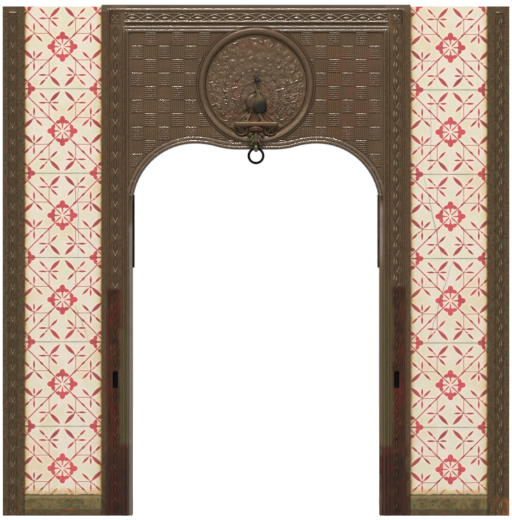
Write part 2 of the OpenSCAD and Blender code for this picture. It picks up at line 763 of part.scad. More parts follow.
// Hood rail: a flat strip on the opening's flange, rounded at its lower end
module hood_rail(side) {
    color([0.1, 0.09, 0.09])
    on_side(side) difference() {
        intersection() {
            translate([x_open - hood_t, 0, 0]) rotate([90, 0, 90]) linear_extrude(hood_t + 1) {
                translate([y_plate_back + 20, hood_z0 + 12]) circle(r = 12);
                translate([y_plate_back + 8, hood_z0 + 12]) square([24, hood_z1 - hood_z0 - 12]);
            }
            slab(y_plate_back, y_back) opening_2d(0);
        }
        for (z = hood_bolt_z) {
            rod_x(y_plate_back + 20, z, bolt_r + slack, x_open - hood_t - eps, x_open + eps);
            countersunk_head(z, slack);
        }
    }
}

// Head that lies flush with the hood rail
module countersunk_head(z, gap) {
    translate([x_open - hood_t, y_plate_back + 20, z]) rotate([0, 90, 0])
        cylinder(r1 = bolt_r + 2.5 + gap, r2 = bolt_r + gap, h = 2.5);
}

module hood_bolts(side) {
    color("dimgray")
    on_side(side) for (z = hood_bolt_z) {
        rod_x(y_plate_back + 20, z, bolt_r, x_open - hood_t, x_open + flange_t + 5);
        countersunk_head(z, 0);
        translate([x_open + flange_t + 1, y_plate_back + 20, z]) rotate([0, 90, 0])
            cylinder(r = 5.8, h = 4, $fn = 6);
    }
}

arch_plate();
roundel_plaque();
bird_figure();
console_bracket();
pull_ring();
plaque_rivets();
bracket_screws();
bird_stud_nut();
outer_stile(LEFT);  // left_outer_stile
outer_stile(RIGHT);  // right_outer_stile
bottom_rail(LEFT);  // left_bottom_rail
bottom_rail(RIGHT);  // right_bottom_rail
tile(LEFT, 1);  // left_tile_1
tile(LEFT, 2);  // left_tile_2
tile(LEFT, 3);  // left_tile_3
tile(LEFT, 4);  // left_tile_4
tile(LEFT, 5);  // left_tile_5
tile(LEFT, 6);  // left_tile_6
tile(RIGHT, 1);  // right_tile_1
tile(RIGHT, 2);  // right_tile_2
tile(RIGHT, 3);  // right_tile_3
tile(RIGHT, 4);  // right_tile_4
tile(RIGHT, 5);  // right_tile_5
tile(RIGHT, 6);  // right_tile_6
plaster_bed(LEFT);  // left_plaster_bed
plaster_bed(RIGHT);  // right_plaster_bed
tile_tray(LEFT);  // left_tile_tray
tile_tray(RIGHT);  // right_tile_tray
tray_bolts(LEFT);  // left_tray_bolts
tray_bolts(RIGHT);  // right_tray_bolts
rail_bolts(LEFT);  // left_rail_bolts
rail_bolts(RIGHT);  // right_rail_bolts
hood_rail(LEFT);  // left_hood_rail
hood_rail(RIGHT);  // right_hood_rail
hood_bolts(LEFT);  // left_hood_bolts
hood_bolts(RIGHT);  // right_hood_bolts
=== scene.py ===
"""Looks of a cast iron tiled fireplace front. Lengths are in millimetres until a mesh is built."""

from functools import reduce
from itertools import product
from math import atan2, cos, hypot, pi, radians, sin
from types import SimpleNamespace

import bpy
import numpy as np
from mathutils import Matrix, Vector, noise


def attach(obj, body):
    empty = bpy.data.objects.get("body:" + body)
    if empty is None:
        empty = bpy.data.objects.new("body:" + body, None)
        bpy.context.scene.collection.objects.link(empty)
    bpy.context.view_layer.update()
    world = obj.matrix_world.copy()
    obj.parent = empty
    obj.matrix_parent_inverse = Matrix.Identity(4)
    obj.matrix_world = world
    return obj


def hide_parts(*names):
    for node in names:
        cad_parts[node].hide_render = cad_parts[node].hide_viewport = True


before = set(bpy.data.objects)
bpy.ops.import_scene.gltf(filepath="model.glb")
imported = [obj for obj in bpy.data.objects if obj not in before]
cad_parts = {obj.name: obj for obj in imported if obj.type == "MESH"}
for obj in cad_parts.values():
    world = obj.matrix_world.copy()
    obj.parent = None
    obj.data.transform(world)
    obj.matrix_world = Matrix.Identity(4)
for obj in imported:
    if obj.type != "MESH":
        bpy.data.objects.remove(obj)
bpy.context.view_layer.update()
scene = bpy.context.scene

MM = 0.001
# planes across the depth, as in the CAD
Y_FACE = -23
Y_BAND = -21.5
Y_CHAIN = -22.8
Y_STILE_CHAIN = -21.8
Y_LEVEL_RIB = -22.2
Y_UPRIGHT_RIB = -21.7
Y_DISC = -20
Y_SEAT = -20
# places across the front
FRONT_H = 923
X_OPEN = 223.5
X_FACE = 230
X_BAND = 254.1
X_STILE_BAND = 439.1
X_TILE = 348.5
# the middle of the print on the left and on the right tiles, from the middle of the front
PRINT_LEFT = 349.8
PRINT_RIGHT = 351.4
TILE_PITCH = 152.4
FIRST_JOINT = 771.3
RIGHT_DROP = 2
ROUNDEL_Z = 778
ROUNDEL_R = 107
DISC_R = 92
FAN_Z = 742
RING_Y = -28
EYE_Z = 663.55
EYE_R = 3.8
HOOK_X = 254
HOOK_Z = 246
# the weave: where it starts, its squares and their ribs, and the plain edges round it
WEAVE_EDGE_X = 104.9
WEAVE_TOP_Z = 873.7
WEAVE_PITCH = 24.4
RIBS = 7
RIB_PITCH = WEAVE_PITCH / RIBS
FIELD_IN = 1.2
FIELD_DROP = 49
ARCH_EDGE = 12
# the chains: where they start, how long their links are, and the gap round a hook slot
TOP_CHAIN_Z = FRONT_H - 23.9
TOP_CHAIN_X = 238
LEG_CHAIN_Z = TOP_CHAIN_Z - 13
LEG_LINK = 29.67
STILE_CHAIN_Z = 2
STILE_LINK = 29.13
LINK_PITCH = 29.4
HOOK_GAP = 17
# the arch
SPRING_Z = 560.5
X_HAUNCH = 110.5
HAUNCH_R = 113
X_CUSP = 33.5
CUSP_Z = 662.5
CONVEX_Z = 536
CONCAVE_Z = 800
OGEE_R = 137.5


# ---- relief meshes

def put(name, data):
    """Adds an object to the scene."""
    thing = bpy.data.objects.new(name, data)
    scene.collection.objects.link(thing)
    return thing


def circle(count):
    """Angles all round."""
    return np.linspace(0, 2 * pi, count, endpoint=False)


def unit(rows):
    """Each row brought to length 1."""
    return rows / np.maximum(np.linalg.norm(rows, axis=1, keepdims=True), 1e-9)


class Relief:
    """Collects raised forms that stand on an upright plane, then builds them as one mesh."""

    def __init__(self):
        self.verts = []
        self.faces = []
        self.count = 0

    def grid(self, points, closed=False):
        """points is (rows, columns, 3), in mm. Neighbours become quads."""
        rows, cols = points.shape[:2]
        index = self.count + np.arange(rows * cols).reshape(rows, cols)
        if closed:
            index = np.concatenate([index, index[:, :1]], axis=1)
        quads = np.stack([index[:-1, :-1], index[1:, :-1], index[1:, 1:], index[:-1, 1:]], axis=-1)
        self.verts.append(points.reshape(-1, 3))
        self.faces.append(quads.reshape(-1, 4))
        self.count += rows * cols

    def stroke(self, path, half_w, rise, y0, across=5, sink=0.3):
        """A rounded ridge along a path in X-Z. Its half width and rise may change along it."""
        path = np.asarray(path, float)
        n = len(path)
        half_w, rise, base = (np.broadcast_to(np.asarray(v, float), n) for v in (half_w, rise, y0))
        along = unit(np.gradient(path, axis=0))
        side = np.stack([-along[:, 1], along[:, 0]], axis=1)
        turn = np.linspace(0, pi, across)
        flat = path[:, None, :] + side[:, None, :] * (half_w[:, None] * np.cos(turn))[:, :, None]
        y = base[:, None] + sink - (rise[:, None] + sink) * np.sin(turn)
        self.grid(np.stack([flat[:, :, 0], y, flat[:, :, 1]], axis=-1))

    def leaf(self, start, end, half_w, rise, y0, steps=9, bend=0, across=5):
        """A pointed leaf between two points, bent to one side by a share of its length."""
        start, end = np.asarray([start, end], float)
        t = np.linspace(0, 1, steps)
        run = end - start
        side = np.array([-run[1], run[0]])
        arc = (4 * t * (1 - t))[:, None]
        path = start + run * t[:, None] + side * bend * arc
        swell = np.sin(pi * t ** 0.85) ** 0.8
        self.stroke(path, half_w * swell + 0.02, rise * swell, y0, across)

    def boss(self, x, z, r, rise, y0, rings=4, spokes=12):
        """A small dome."""
        turn = circle(spokes)
        tilt = np.linspace(0, pi / 2, rings + 1)
        out = r * np.cos(tilt)[:, None]
        up = np.broadcast_to(rise * np.sin(tilt)[:, None], (rings + 1, spokes))
        points = np.stack([x + out * np.cos(turn), y0 - up, z + out * np.sin(turn)], axis=-1)
        self.grid(points[:, ::-1], closed=True)

    def tube(self, path, radii, spokes=12):
        """A round body along a path of 3D points; radii are (across, along Y) pairs."""
        path, radii = np.asarray(path, float), np.asarray(radii, float)
        along = unit(np.gradient(path, axis=0))
        side = unit(np.cross(along, (0, -1, 0)))
        front = np.cross(side, along)
        turn = circle(spokes)
        ring = (side[:, None, :] * (radii[:, :1] * np.cos(turn))[:, :, None]
                + front[:, None, :] * (radii[:, 1:] * np.sin(turn))[:, :, None])
        self.grid(path[:, None, :] + ring, closed=True)

    def build(self, name, material, body="front"):
        """Makes the object, smooth shaded, riding on a body."""
        verts = np.concatenate(self.verts) * MM
        faces = np.concatenate(self.faces)
        mesh = bpy.data.meshes.new(name)
        mesh.from_pydata(verts.tolist(), [], faces.tolist())
        mesh.polygons.foreach_set("use_smooth", [True] * len(faces))
        mesh.validate()
        mesh.materials.append(material)
        piece = put(name, mesh)
        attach(piece, body)
        return piece


def spiral_path(x, z, r0, r1, start, end, steps):
    """Points on a spiral whose radius goes from r0 to r1."""
    share = np.linspace(0, 1, steps)
    turn = np.radians(start + (end - start) * share)
    r = r0 + (r1 - r0) * share
    return np.stack([x + r * np.cos(turn), z + r * np.sin(turn)], axis=1)


def above_arch(x, z, gap):
    """True where a point lies outside the fire opening by more than a gap."""
    x = np.abs(x)
    haunch = np.hypot(x - X_HAUNCH, z - SPRING_Z) > HAUNCH_R + gap
    convex = np.hypot(x - X_HAUNCH, z - CONVEX_Z) > OGEE_R + gap
    concave = np.hypot(x - X_CUSP, z - CONCAVE_Z) < OGEE_R - gap
    middle = z > CUSP_Z + gap
    split = (X_HAUNCH + X_CUSP) / 2 - 0.28 * gap
    return np.where(x > X_HAUNCH, np.where(z > SPRING_Z, haunch, x > X_OPEN + gap),
                    np.where(x > split, convex, np.where(x > X_CUSP, concave, middle)))


# ---- shader nodes

def feed(tree, node, inputs):
    """Feeds sockets, by name or number, with a value, another socket, or a plain number or colour."""
    for key, value in inputs.items():
        source = getattr(value, "socket", value)
        if isinstance(source, bpy.types.NodeSocket):
            tree.links.new(source, node.inputs[key])
        else:
            node.inputs[key].default_value = source


def add_node(tree, kind, inputs, **settings):
    """Adds a node, with its settings and what feeds its inputs."""
    node = tree.nodes.new(kind)
    for key, value in settings.items():
        setattr(node, key, value)
    feed(tree, node, inputs)
    return node


def adds(operation):
    """A method of Value that adds one Math node."""
    return lambda self, *others: self.shade.math(operation, self, *others)


class Value:
    """A number in a shader, with arithmetic that adds Math nodes."""

    def __init__(self, shade, socket):
        self.shade = shade
        self.socket = socket

    __add__ = adds("ADD")
    __sub__ = adds("SUBTRACT")
    __mul__ = adds("MULTIPLY")
    __abs__ = adds("ABSOLUTE")
    least = adds("MINIMUM")
    most = adds("MAXIMUM")

    def __rsub__(self, other):
        return self.shade.math("SUBTRACT", other, self)

    def wrap(self, span):
        """Folded into the range 0 to span."""
        return self.shade.math("WRAP", self, span, 0)

    def fade(self, low, high):
        """0 at low, 1 at high, smooth between."""
        inputs = {0: self, 1: low, 2: high}
        return self.shade.add("ShaderNodeMapRange", inputs, 0, interpolation_type="SMOOTHSTEP")

    def near(self, centre, outer, inner):
        """1 within an inner distance of a centre, 0 beyond the outer one."""
        return abs(self - centre).fade(outer, inner)


def least_of(values):
    """The least of a list of values."""
    return reduce(Value.least, values)


def most_of(values):
    """The greatest of a list of values."""
    return reduce(Value.most, values)


class Shade:
    """Builds one material. Colours are given as they look, 0 to 255."""

    def __init__(self, name, settings):
        self.material = bpy.data.materials.new(name)
        self.material.use_nodes = True
        self.tree = self.material.node_tree
        self.shader = self.tree.nodes["Principled BSDF"]
        feed(self.tree, self.shader, settings)
        self.place = self.add("ShaderNodeTexCoord", {}, "Object")
        split = add_node(self.tree, "ShaderNodeSeparateXYZ", {0: self.place})
        self.x, self.y, self.z = (Value(self, s) * (1 / MM) for s in split.outputs)
        self.wide = abs(self.x)
        self.tone = None

    def add(self, kind, inputs, output, **settings):
        """Adds a node and gives one of its outputs."""
        return Value(self, add_node(self.tree, kind, inputs, **settings).outputs[output])

    def math(self, operation, *values):
        """A Math node, fed with values or numbers."""
        return self.add("ShaderNodeMath", dict(enumerate(values)), 0, operation=operation)

    def noise(self, size, detail=2, stretch=(1, 1, 1), rough=0.5):
        """Noise with lumps of about a size in mm, 0 to 1."""
        place = self.add("ShaderNodeMapping", {"Vector": self.place, "Scale": stretch}, 0)
        inputs = {"Vector": place, "Scale": 1 / MM / size, "Detail": detail, "Roughness": rough}
        return self.add("ShaderNodeTexNoise", inputs, "Fac")

    def cavity(self, reach):
        """1 on open faces, lower in corners and grooves within a reach in mm."""
        return self.add("ShaderNodeAmbientOcclusion", {"Distance": reach * MM}, "AO", samples=6)

    def colour(self, rgb):
        """Linear light of a colour as it looks."""
        linear = [(c / 255 / 12.92) if c < 10.3 else ((c / 255 + 0.055) / 1.055) ** 2.4 for c in rgb]
        return (*linear, 1)

    def mix(self, share, first, second):
        """The first colour where share is 0, the second where it is 1."""
        first, second = (self.colour(c) if isinstance(c, tuple) else c for c in (first, second))
        return self.add("ShaderNodeMix", {0: share, 6: first, 7: second}, 2, data_type="RGBA")

    def tint(self, share, colour):
        """Lays a colour over what is painted so far."""
        self.tone = self.mix(share, self.tone, colour)

    def shade_corners(self, reach, share, colour):
        """Lays a colour into corners and grooves, as painted shade where they are closed in."""
        self.tint((1 - self.cavity(reach)) * share, colour)

    def finish(self, height, depth):
        """Sets the paint and the bump. Height is 0 to 1, and depth is what 1 stands for, in mm."""
        bump = self.add("ShaderNodeBump", {"Distance": depth * MM, "Height": height}, 0)
        feed(self.tree, self.shader, {"Base Color": self.tone, "Normal": bump})
        return self.material

    def roughen(self, value, low, high):
        """Sets the roughness: low where the value is 0, high where it is 1."""
        rough = self.add("ShaderNodeMapRange", {0: value, 3: low, 4: high}, 0)
        feed(self.tree, self.shader, {"Roughness": rough})

    def distance(self, x, z):
        """How far a place is from a point in X-Z."""
        dx, dz = self.x - x, self.z - z
        return self.math("SQRT", dx * dx + dz * dz)

    def line_mask(self, start, end, half_w):
        """1 along a line from start to end in X-Z, fading out over its half width."""
        dx, dz = end[0] - start[0], end[1] - start[1]
        span = hypot(dx, dz)
        off = (self.x - start[0]) * (dz / span) - (self.z - start[1]) * (dx / span)
        along = (self.x - start[0]) * (dx / span) + (self.z - start[1]) * (dz / span)
        return abs(off).fade(half_w, half_w * 0.5) * along.near(span / 2, span / 2, span / 2 - 0.6)

    def box_mask(self, low, high, edge, wobble):
        """1 inside an X-Z box, fading over an edge that noise makes ragged."""
        gaps = []
        for axis, lo, hi in ((self.x, low[0], high[0]), (self.z, low[1], high[1])):
            gaps.append((hi - lo) / 2 - abs(axis - (lo + hi) / 2))
        return (least_of(gaps) + wobble).fade(-edge, edge)

    def boxes(self, table, wobble):
        """1 inside any box of a table, whose rows end with their share of the wobble."""
        return most_of([self.box_mask(*box, wobble * share) for *box, share in table])

    def point(self, first, second):
        """Two values as a vector that ends with 1, for leaf and disc."""
        return self.add("ShaderNodeCombineXYZ", {0: first, 1: second, 2: 1}, 0)

    def measure(self, operation, point, vector):
        """The dot product of a point and a vector, or the distance between them."""
        return self.add("ShaderNodeVectorMath", {0: point, 1: vector}, "Value", operation=operation)

    def leaf(self, point, start, end, half_w):
        """Distance from a pointed leaf, below 0 inside."""
        dx, dy = end[0] - start[0], end[1] - start[1]
        span = hypot(dx, dy)
        behind = (start[0] * dx + start[1] * dy) / span ** 2
        along = self.measure("DOT_PRODUCT", point, (dx / span ** 2, dy / span ** 2, -behind))
        aside = (start[0] * dy - start[1] * dx) / span
        off = self.measure("DOT_PRODUCT", point, (-dy / span, dx / span, aside))
        return abs(off) - along * (1 - along) * (4 * half_w)

    def disc(self, point, centre, r):
        """Distance from a disc, below 0 inside."""
        return self.measure("DISTANCE", point, (*centre, 1)) - r


# ---- brown iron

# boxes in X-Z: low corner, high corner, soft edge and how ragged it is
RUDDY = (
    ((-30, 844), (24, 860), 7, 30), ((-43, 754), (-29, 784), 7, 20), ((17, 762), (30, 780), 7, 20),
    ((-56, 719), (-28, 731), 7, 20), ((20, 712), (30, 752), 7, 20), ((-9, 711), (6, 722), 7, 20),
)
RUST = (
    ((-270, -40), (-244, 410), 3, 0.1), ((-275, -40), (-224, 128), 6, 0.6),
    ((244, -40), (271, 415), 3, 0.12), ((224, -40), (275, 126), 6, 0.6),
)
MOSS = (((-247, 132), (-226, 335), 5, 0.5), ((226, 128), (247, 430), 5, 0.5))
# the front edge of the flange, grey as partly bare metal and partly painted light: as above, then its
# strength and its colour
BARE_AND_LIT = (
    ((-229.8, -40), (-223, 520), 16, 0.2, 1, (134, 129, 115)),
    ((223, 460), (229.8, 556), 16, 0.3, 1, (146, 139, 127)),
    ((223, 128), (229.8, 470), 12, 0.3, 0.8, (104, 88, 66)),
)
# level grooves of the border: height, outer and inner half width
GROOVES = ((888.4, 3.4, 2.4), (879.6, 1.4, 0.8), (873.6, 1.4, 0.8), (918.6, 2.8, 1.4))
# shadows of the bird's legs and of its tail on the disc: both ends and half the width
SHADOWS = (((-7.6, 730), (-13.6, 711), 1.5), ((3.2, 727), (16.6, 711), 1.6), ((-18, 735), (-10, 726), 2.6))


def iron_masks(s):
    """Noises, and places on the front, that the sub-parts share."""
    m = SimpleNamespace()
    m.patch = s.noise(14, 4, rough=0.6)
    m.grain = s.noise(1.6, 3, rough=0.6)
    m.flake = s.noise(4.5, 3, rough=0.7)
    m.streak = s.noise(10, 3, stretch=(1.6, 1.6, 0.5))
    m.tall = s.noise(22, 4, stretch=(1, 1, 0.35))
    m.ragged = (m.patch - 0.5) * 46 + (m.tall - 0.5) * 30
    m.open_face = s.cavity(3)
    # the roundel's disc and its moulding, and the face outside them
    m.radius = s.distance(0, ROUNDEL_Z)
    m.disc = m.radius.fade(DISC_R + 0.5, DISC_R - 0.5)
    m.hoop = m.radius.fade(ROUNDEL_R + 2.5, ROUNDEL_R + 1) - m.disc
    m.field = 1 - m.disc - m.hoop
    m.leg = s.wide.fade(228, 232) * s.z.fade(FRONT_H - 46, FRONT_H - 52)
    m.leg = m.leg.most(s.wide.fade(243, 247) * s.z.fade(FRONT_H - 11, FRONT_H - 14))
    m.stile = s.wide.fade(395, 425)
    m.worn = s.boxes(RUST, m.ragged)
    return m


def iron_ground(s, m):
    """Brown paint, darker on margins and stiles, with remains of green and red along the edges."""
    s.tone = s.mix(s.noise(60, 3).fade(0.35, 0.65), (88, 68, 46), (97, 75, 52))
    s.tint(m.patch.fade(0.45, 0.75) * 0.5, (82, 68, 45))
    margin = s.wide.fade(228, 236) * s.z.fade(FRONT_H - 20, FRONT_H - 110)
    margin = (margin.most(s.wide.fade(256, 262)) * 0.85).most(m.hoop * 0.55)
    s.tint(margin, s.mix(m.flake.fade(0.3, 0.7), (66, 44, 24), (88, 67, 43)))
    s.tint(m.stile * 0.9, s.mix(m.flake.fade(0.3, 0.7), (54, 39, 19), (91, 73, 47)))
    s.tint(m.streak.fade(0.55, 0.72) * s.wide.fade(258, 270) * 0.5, (70, 78, 52))
    s.tint(m.streak.fade(0.44, 0.3) * s.wide.fade(262, 275) * 0.45, (98, 58, 44))


def iron_rust(s, m):
    """Red tints on the disc, rust and moss on the legs, and orange rust on the right."""
    ruddy = s.boxes(RUDDY, m.patch - 0.5)
    s.tint(ruddy * m.disc * m.patch.fade(0.25, 0.6) * 0.4, (112, 58, 34))
    rust = s.mix(m.patch.fade(0.3, 0.7), (42, 22, 10), (74, 40, 20))
    rust = s.mix(m.tall.fade(0.46, 0.64) * 0.7, rust, (92, 24, 14))
    rust = s.mix(m.streak.fade(0.6, 0.75) * 0.6, rust, (118, 68, 30))
    rust = s.mix(s.z.fade(126, 96) * m.flake.fade(0.3, 0.55) * 0.6, rust, (34, 20, 18))
    s.tint(m.worn * 0.92, rust)
    s.tint(s.boxes(MOSS, m.ragged) * 0.7, s.mix(m.flake, (66, 62, 36), (92, 82, 50)))
    # the foot of the right stile, and the right half of the weave
    foot = s.box_mask((432, -20), (470, 30), 8, m.ragged * 0.5)
    s.tint(foot * m.patch.fade(0.35, 0.6) * 0.7, (150, 92, 42))
    bloom = s.box_mask((122, 690), (204, 842), 14, m.ragged)
    s.tint(bloom * m.patch.fade(0.42, 0.66) * 0.5, (112, 66, 46))


def iron_flange(s, m):
    """Grey front edge that turns into the opening, partly bare metal and partly painted light, all the way
    down on the left and half way on the right.
    """
    edge = s.y.fade(-20.5, -19.5) * (m.streak * 0.6 + 0.65)
    for low, high, soft, rough, share, colour in BARE_AND_LIT:
        s.tint(s.box_mask(low, high, soft, m.ragged * rough) * edge * share, colour)


def iron_back_and_shade(s, m):
    """A sooty, rusty back, and painted shade in the corners and in the border's grooves."""
    s.tint(s.y.fade(-17.5, -14), s.mix(m.patch.fade(0.35, 0.7), (52, 42, 35), (84, 56, 42)))
    # painted shade in corners and hollows, less of it on the legs and stiles
    s.tint((1 - m.open_face) * (0.55 - m.leg * 0.25 - m.stile * 0.45), (40, 27, 17))
    # painted shade along the level grooves of the border
    grooves = most_of([s.z.near(*groove) for groove in GROOVES])
    s.tint(grooves * s.wide.fade(234, 232) * m.field * 0.65, (36, 23, 14))


def iron_chains(s, m):
    """Paler sunk bands on legs and stiles, painted shade in the hollows of their links, and dabs on their
    chains that are partly worn bare metal and partly painted highlight.
    """
    leg_band = m.leg * s.wide.near(X_BAND, 8, 7)
    stile_band = m.stile * s.wide.near(X_STILE_BAND, 6.4, 5.6)
    s.tint((leg_band * (1 - m.worn) * 0.3).most(stile_band * 0.45), (96, 77, 53))
    # dabs on the chain crests: partly worn bare metal, partly painted highlight
    worn_dab_and_highlight = (s.y.fade(-22.95, -23.5) * leg_band).most(s.y.fade(-22, -22.7) * stile_band)
    # each link catches light above its crossing, where a painted highlight goes; on the right half left
    # and right strand take turns
    outer = m.leg * (s.wide - X_BAND).fade(-0.5, 0.5) + m.stile * (s.wide - X_STILE_BAND).fade(-0.5, 0.5)
    turn = s.x.fade(-1, 1) * (1 - outer) * (LEG_LINK / 2)
    beat = (s.z - LEG_CHAIN_Z + turn).wrap(LEG_LINK) * (1 - m.stile)
    beat = beat + (s.z - STILE_CHAIN_Z + turn).wrap(STILE_LINK) * m.stile
    # painted shade in the hollow of each link
    link_hollow_shade = beat.fade(9, 12) * beat.fade(27, 24) * (1 - m.worn)
    s.tint(leg_band.most(stile_band) * link_hollow_shade * 0.35, (60, 44, 28))
    lit = beat.fade(9.5, 6.5) * m.flake.fade(0.3, 0.42) * 0.85 + 0.1
    s.tint(worn_dab_and_highlight * lit * (1 - m.worn * 0.85), (152, 132, 104))
    # painted shade: the insides of the hook slots are painted near black
    slot_shade = s.wide.near(HOOK_X, 5.3, 4.9) * s.z.near(HOOK_Z, 15.5, 15.1) * s.y.fade(-22.6, -21.4)
    s.tint(slot_shade, (6, 6, 5))


def iron_roundel(s, m):
    """Painted highlights on the moulding's edge, on its inner flank and on the tips of the top feathers,
    and painted shadows under the bird.
    """
    # painted highlight along the moulding's edge, strongest at its upper left where the light falls
    rim = m.radius.near(108.4, 1.4, 0.5) * (s.z - s.x - ROUNDEL_Z).fade(-60, 90)
    s.tint(rim * s.y.fade(-22.9, -23.2) * 0.55, (158, 138, 110))
    # its lower half faces the light with its inner flank
    flank = m.radius.near(99.5, 4.5, 1.5) * m.hoop * s.z.fade(752, 722)
    flank = flank * (s.x.fade(-60, 40) * 0.25 + 0.25)
    s.tint(flank * m.flake.fade(0.25, 0.5), (156, 132, 102))
    # painted highlight: the tips of the top feathers catch the light in one bright arc
    arc = m.radius.near(86, 1.7, 0.7) * s.z.fade(843, 850) * s.x.fade(14, 4)
    s.tint(arc * m.flake.fade(0.35, 0.5) * 0.7, (152, 128, 100))
    shadow = most_of([s.line_mask(*line) for line in SHADOWS])
    s.tint(shadow * m.disc * s.y.fade(-24.8, -23.8) * 0.75, (34, 23, 15))


def iron_bird(s, m):
    """Rosy back with a painted highlight on its top, olive breast with painted shade that darkens it to
    black towards its lower right, black head and pale legs.
    """
    m.bird = m.disc * s.y.fade(-24.6, -25.8) * s.wide.fade(27, 25) * s.z.fade(710.5, 711.5)
    s.tint(m.bird * 0.85, s.mix(s.x.fade(-3, 0.5), (72, 52, 38), (84, 74, 44)))
    # painted shade: the breast darkens to black towards its lower right
    s.tint(m.bird * s.distance(12, 733).fade(26, 9) * 0.95, (16, 17, 15))
    # rosy colour with a painted highlight on the top of the back
    rosy_highlight = m.bird * s.x.fade(2, -4) * s.z.fade(744, 758) * m.flake.fade(0.35, 0.6)
    s.tint(rosy_highlight * 0.35, (132, 104, 84))
    s.tint(m.bird * s.z.fade(777, 781) * 0.9, (22, 16, 11))
    s.tint(m.bird * s.z.fade(727, 724) * 0.85, (136, 110, 84))


def iron_bracket(s, m):
    """Light shelf, brown scrolls, dark red cap, green and mauve leaves."""
    inside = s.wide.fade(42, 40) * m.radius.fade(93.5, 92.5)
    inside = inside.most(s.wide.fade(18, 16.5) * s.z.fade(655, 657))
    m.bracket = inside * s.z.fade(712.5, 711.8) * s.y.fade(-22.4, -23.4)
    leaves = s.mix(s.x.fade(-3, 2), (80, 76, 42), (88, 68, 58))
    leaves = s.mix(s.z.fade(671, 668), leaves, (58, 58, 34))
    leaves = s.mix(s.z.fade(694, 690), (82, 60, 40), leaves)
    s.tint(m.bracket * (0.75 - m.open_face * 0.1), leaves)
    s.tint(m.bracket * s.box_mask((-14, 693), (13, 703), 2, m.patch) * 0.65, (74, 46, 33))
    m.shelf = s.z.fade(705.5, 707.5) * m.bracket
    middle = s.x.fade(-4, 2) * s.x.fade(18, 13)
    s.tint(m.shelf * 0.6, s.mix(middle, (134, 114, 82), (152, 112, 86)))


def iron_weave(s, m):
    """Painted highlight on the top rib of each level square of the weave."""
    half = WEAVE_PITCH / 2
    rib = (s.z - (WEAVE_TOP_Z + 0.6 - RIB_PITCH / 2) + half).wrap(WEAVE_PITCH)
    rib = rib.near(half, 1.3, 0.7) * s.y.fade(-22.8, -23.1) * s.y.fade(-24, -23.7)
    rib = rib * s.wide.fade(229, 228.5) * s.z.fade(874.2, 873.8) * m.field
    # painted highlight along the top rib of each level square
    s.tint(rib * (m.patch.fade(0.35, 0.6) * 0.4 + 0.25), (168, 148, 120))


def iron_crests(s, m):
    """Crests that stand proud of the face are rubbed smooth and bright, and the beads of the top border
    get a painted highlight.
    """
    plain = 1 - m.leg - m.stile
    proud = s.y.fade(-23.15, -23.9).most(s.y.fade(-22.6, -23.1) * 0.6 * plain)
    proud = proud.most(s.y.fade(-23.1, -23.35) * plain).most(m.disc * s.y.fade(-21.2, -22.2))
    dull = [
        m.disc * (0.8 - m.radius.fade(52, 74) * 0.2),
        m.disc * (s.z - s.x.fade(-10, 10) * 14).fade(742, 732) * 0.75,
        m.bird * s.z.fade(761, 750).most(s.z.fade(774, 778)) * 0.85,
        m.bracket * (0.6 - m.shelf * 0.5),
        m.leg * 0.9,
        m.hoop * 0.8,
        m.stile,
    ]
    for share in dull:
        proud = proud * (1 - share)
    m.proud = proud
    s.tint(proud * 0.3, (106, 85, 62))
    # painted highlight on the beads of the top border, stronger on the upper ones
    bead = s.y.fade(-23.6, -24.3) * s.z.fade(872, 874) * s.wide.fade(240, 236) * (1 - m.hoop)
    bead = bead * (s.z.fade(885.5, 887) * 0.35 + 0.1)
    s.tint(bead * m.flake.fade(0.3, 0.5), (176, 156, 130))


def iron_material():
    """Old brown painted cast iron, worn to red rust on the legs."""
    s = Shade("iron_brown", {"Metallic": 0.35, "Specular IOR Level": 0.3, "Coat Roughness": 0.13})
    m = iron_masks(s)
    for layer in (iron_ground, iron_rust, iron_flange, iron_back_and_shade, iron_chains, iron_roundel,
                  iron_bird, iron_bracket, iron_weave, iron_crests):
        layer(s, m)
    feed(s.tree, s.shader, {"Coat Weight": m.proud})
    s.roughen(m.patch * 0.3 + m.grain * 0.2 + m.worn * 0.5 + (1 - m.proud) * 0.3, 0.3, 0.65)
    return s.finish((m.grain * 0.5 + m.patch * 0.5) * (1 - m.proud * 0.9), 0.3)


# ---- other materials

def worn_glint_material():
    """Crests of the feathers, rubbed bare and light tan as a painted highlight where they catch the light.
    """
    s = Shade("iron_worn_glint", {"Metallic": 0.3, "Coat Weight": 1, "Coat Roughness": 0.15})
    grain = s.noise(2.5, 3, rough=0.6)
    # light tan: painted highlight on the rubbed crests
    s.tone = s.mix(s.noise(9, 3).fade(0.35, 0.65), (146, 124, 98), (112, 90, 66))
    # painted shade in corners and grooves
    s.shade_corners(2, 0.6, (60, 44, 30))
    s.roughen(grain, 0.25, 0.5)
    return s.finish(grain, 0.15)


def plain_iron(name, light, dark, rust, share, rough, shine=0.5):
    """Bare or blackened iron with a cast grain and spots of rust."""
    s = Shade(name, {"Specular IOR Level": shine})
    patch = s.noise(12, 4, rough=0.6)
    grain = s.noise(1.5, 3, rough=0.6)
    s.tone = s.mix(patch.fade(0.35, 0.65), light, dark)
    s.tint(s.noise(30, 3, stretch=(0.5, 1, 1.5)).fade(0.5, 0.7) * share, rust)
    # painted shade in corners and grooves
    s.shade_corners(4, 0.6, (24, 19, 15))
    s.roughen(patch * 0.6 + grain * 0.4, rough - 0.08, rough + 0.2)
    return s.finish(grain * 0.6 + patch * 0.4, 0.3)


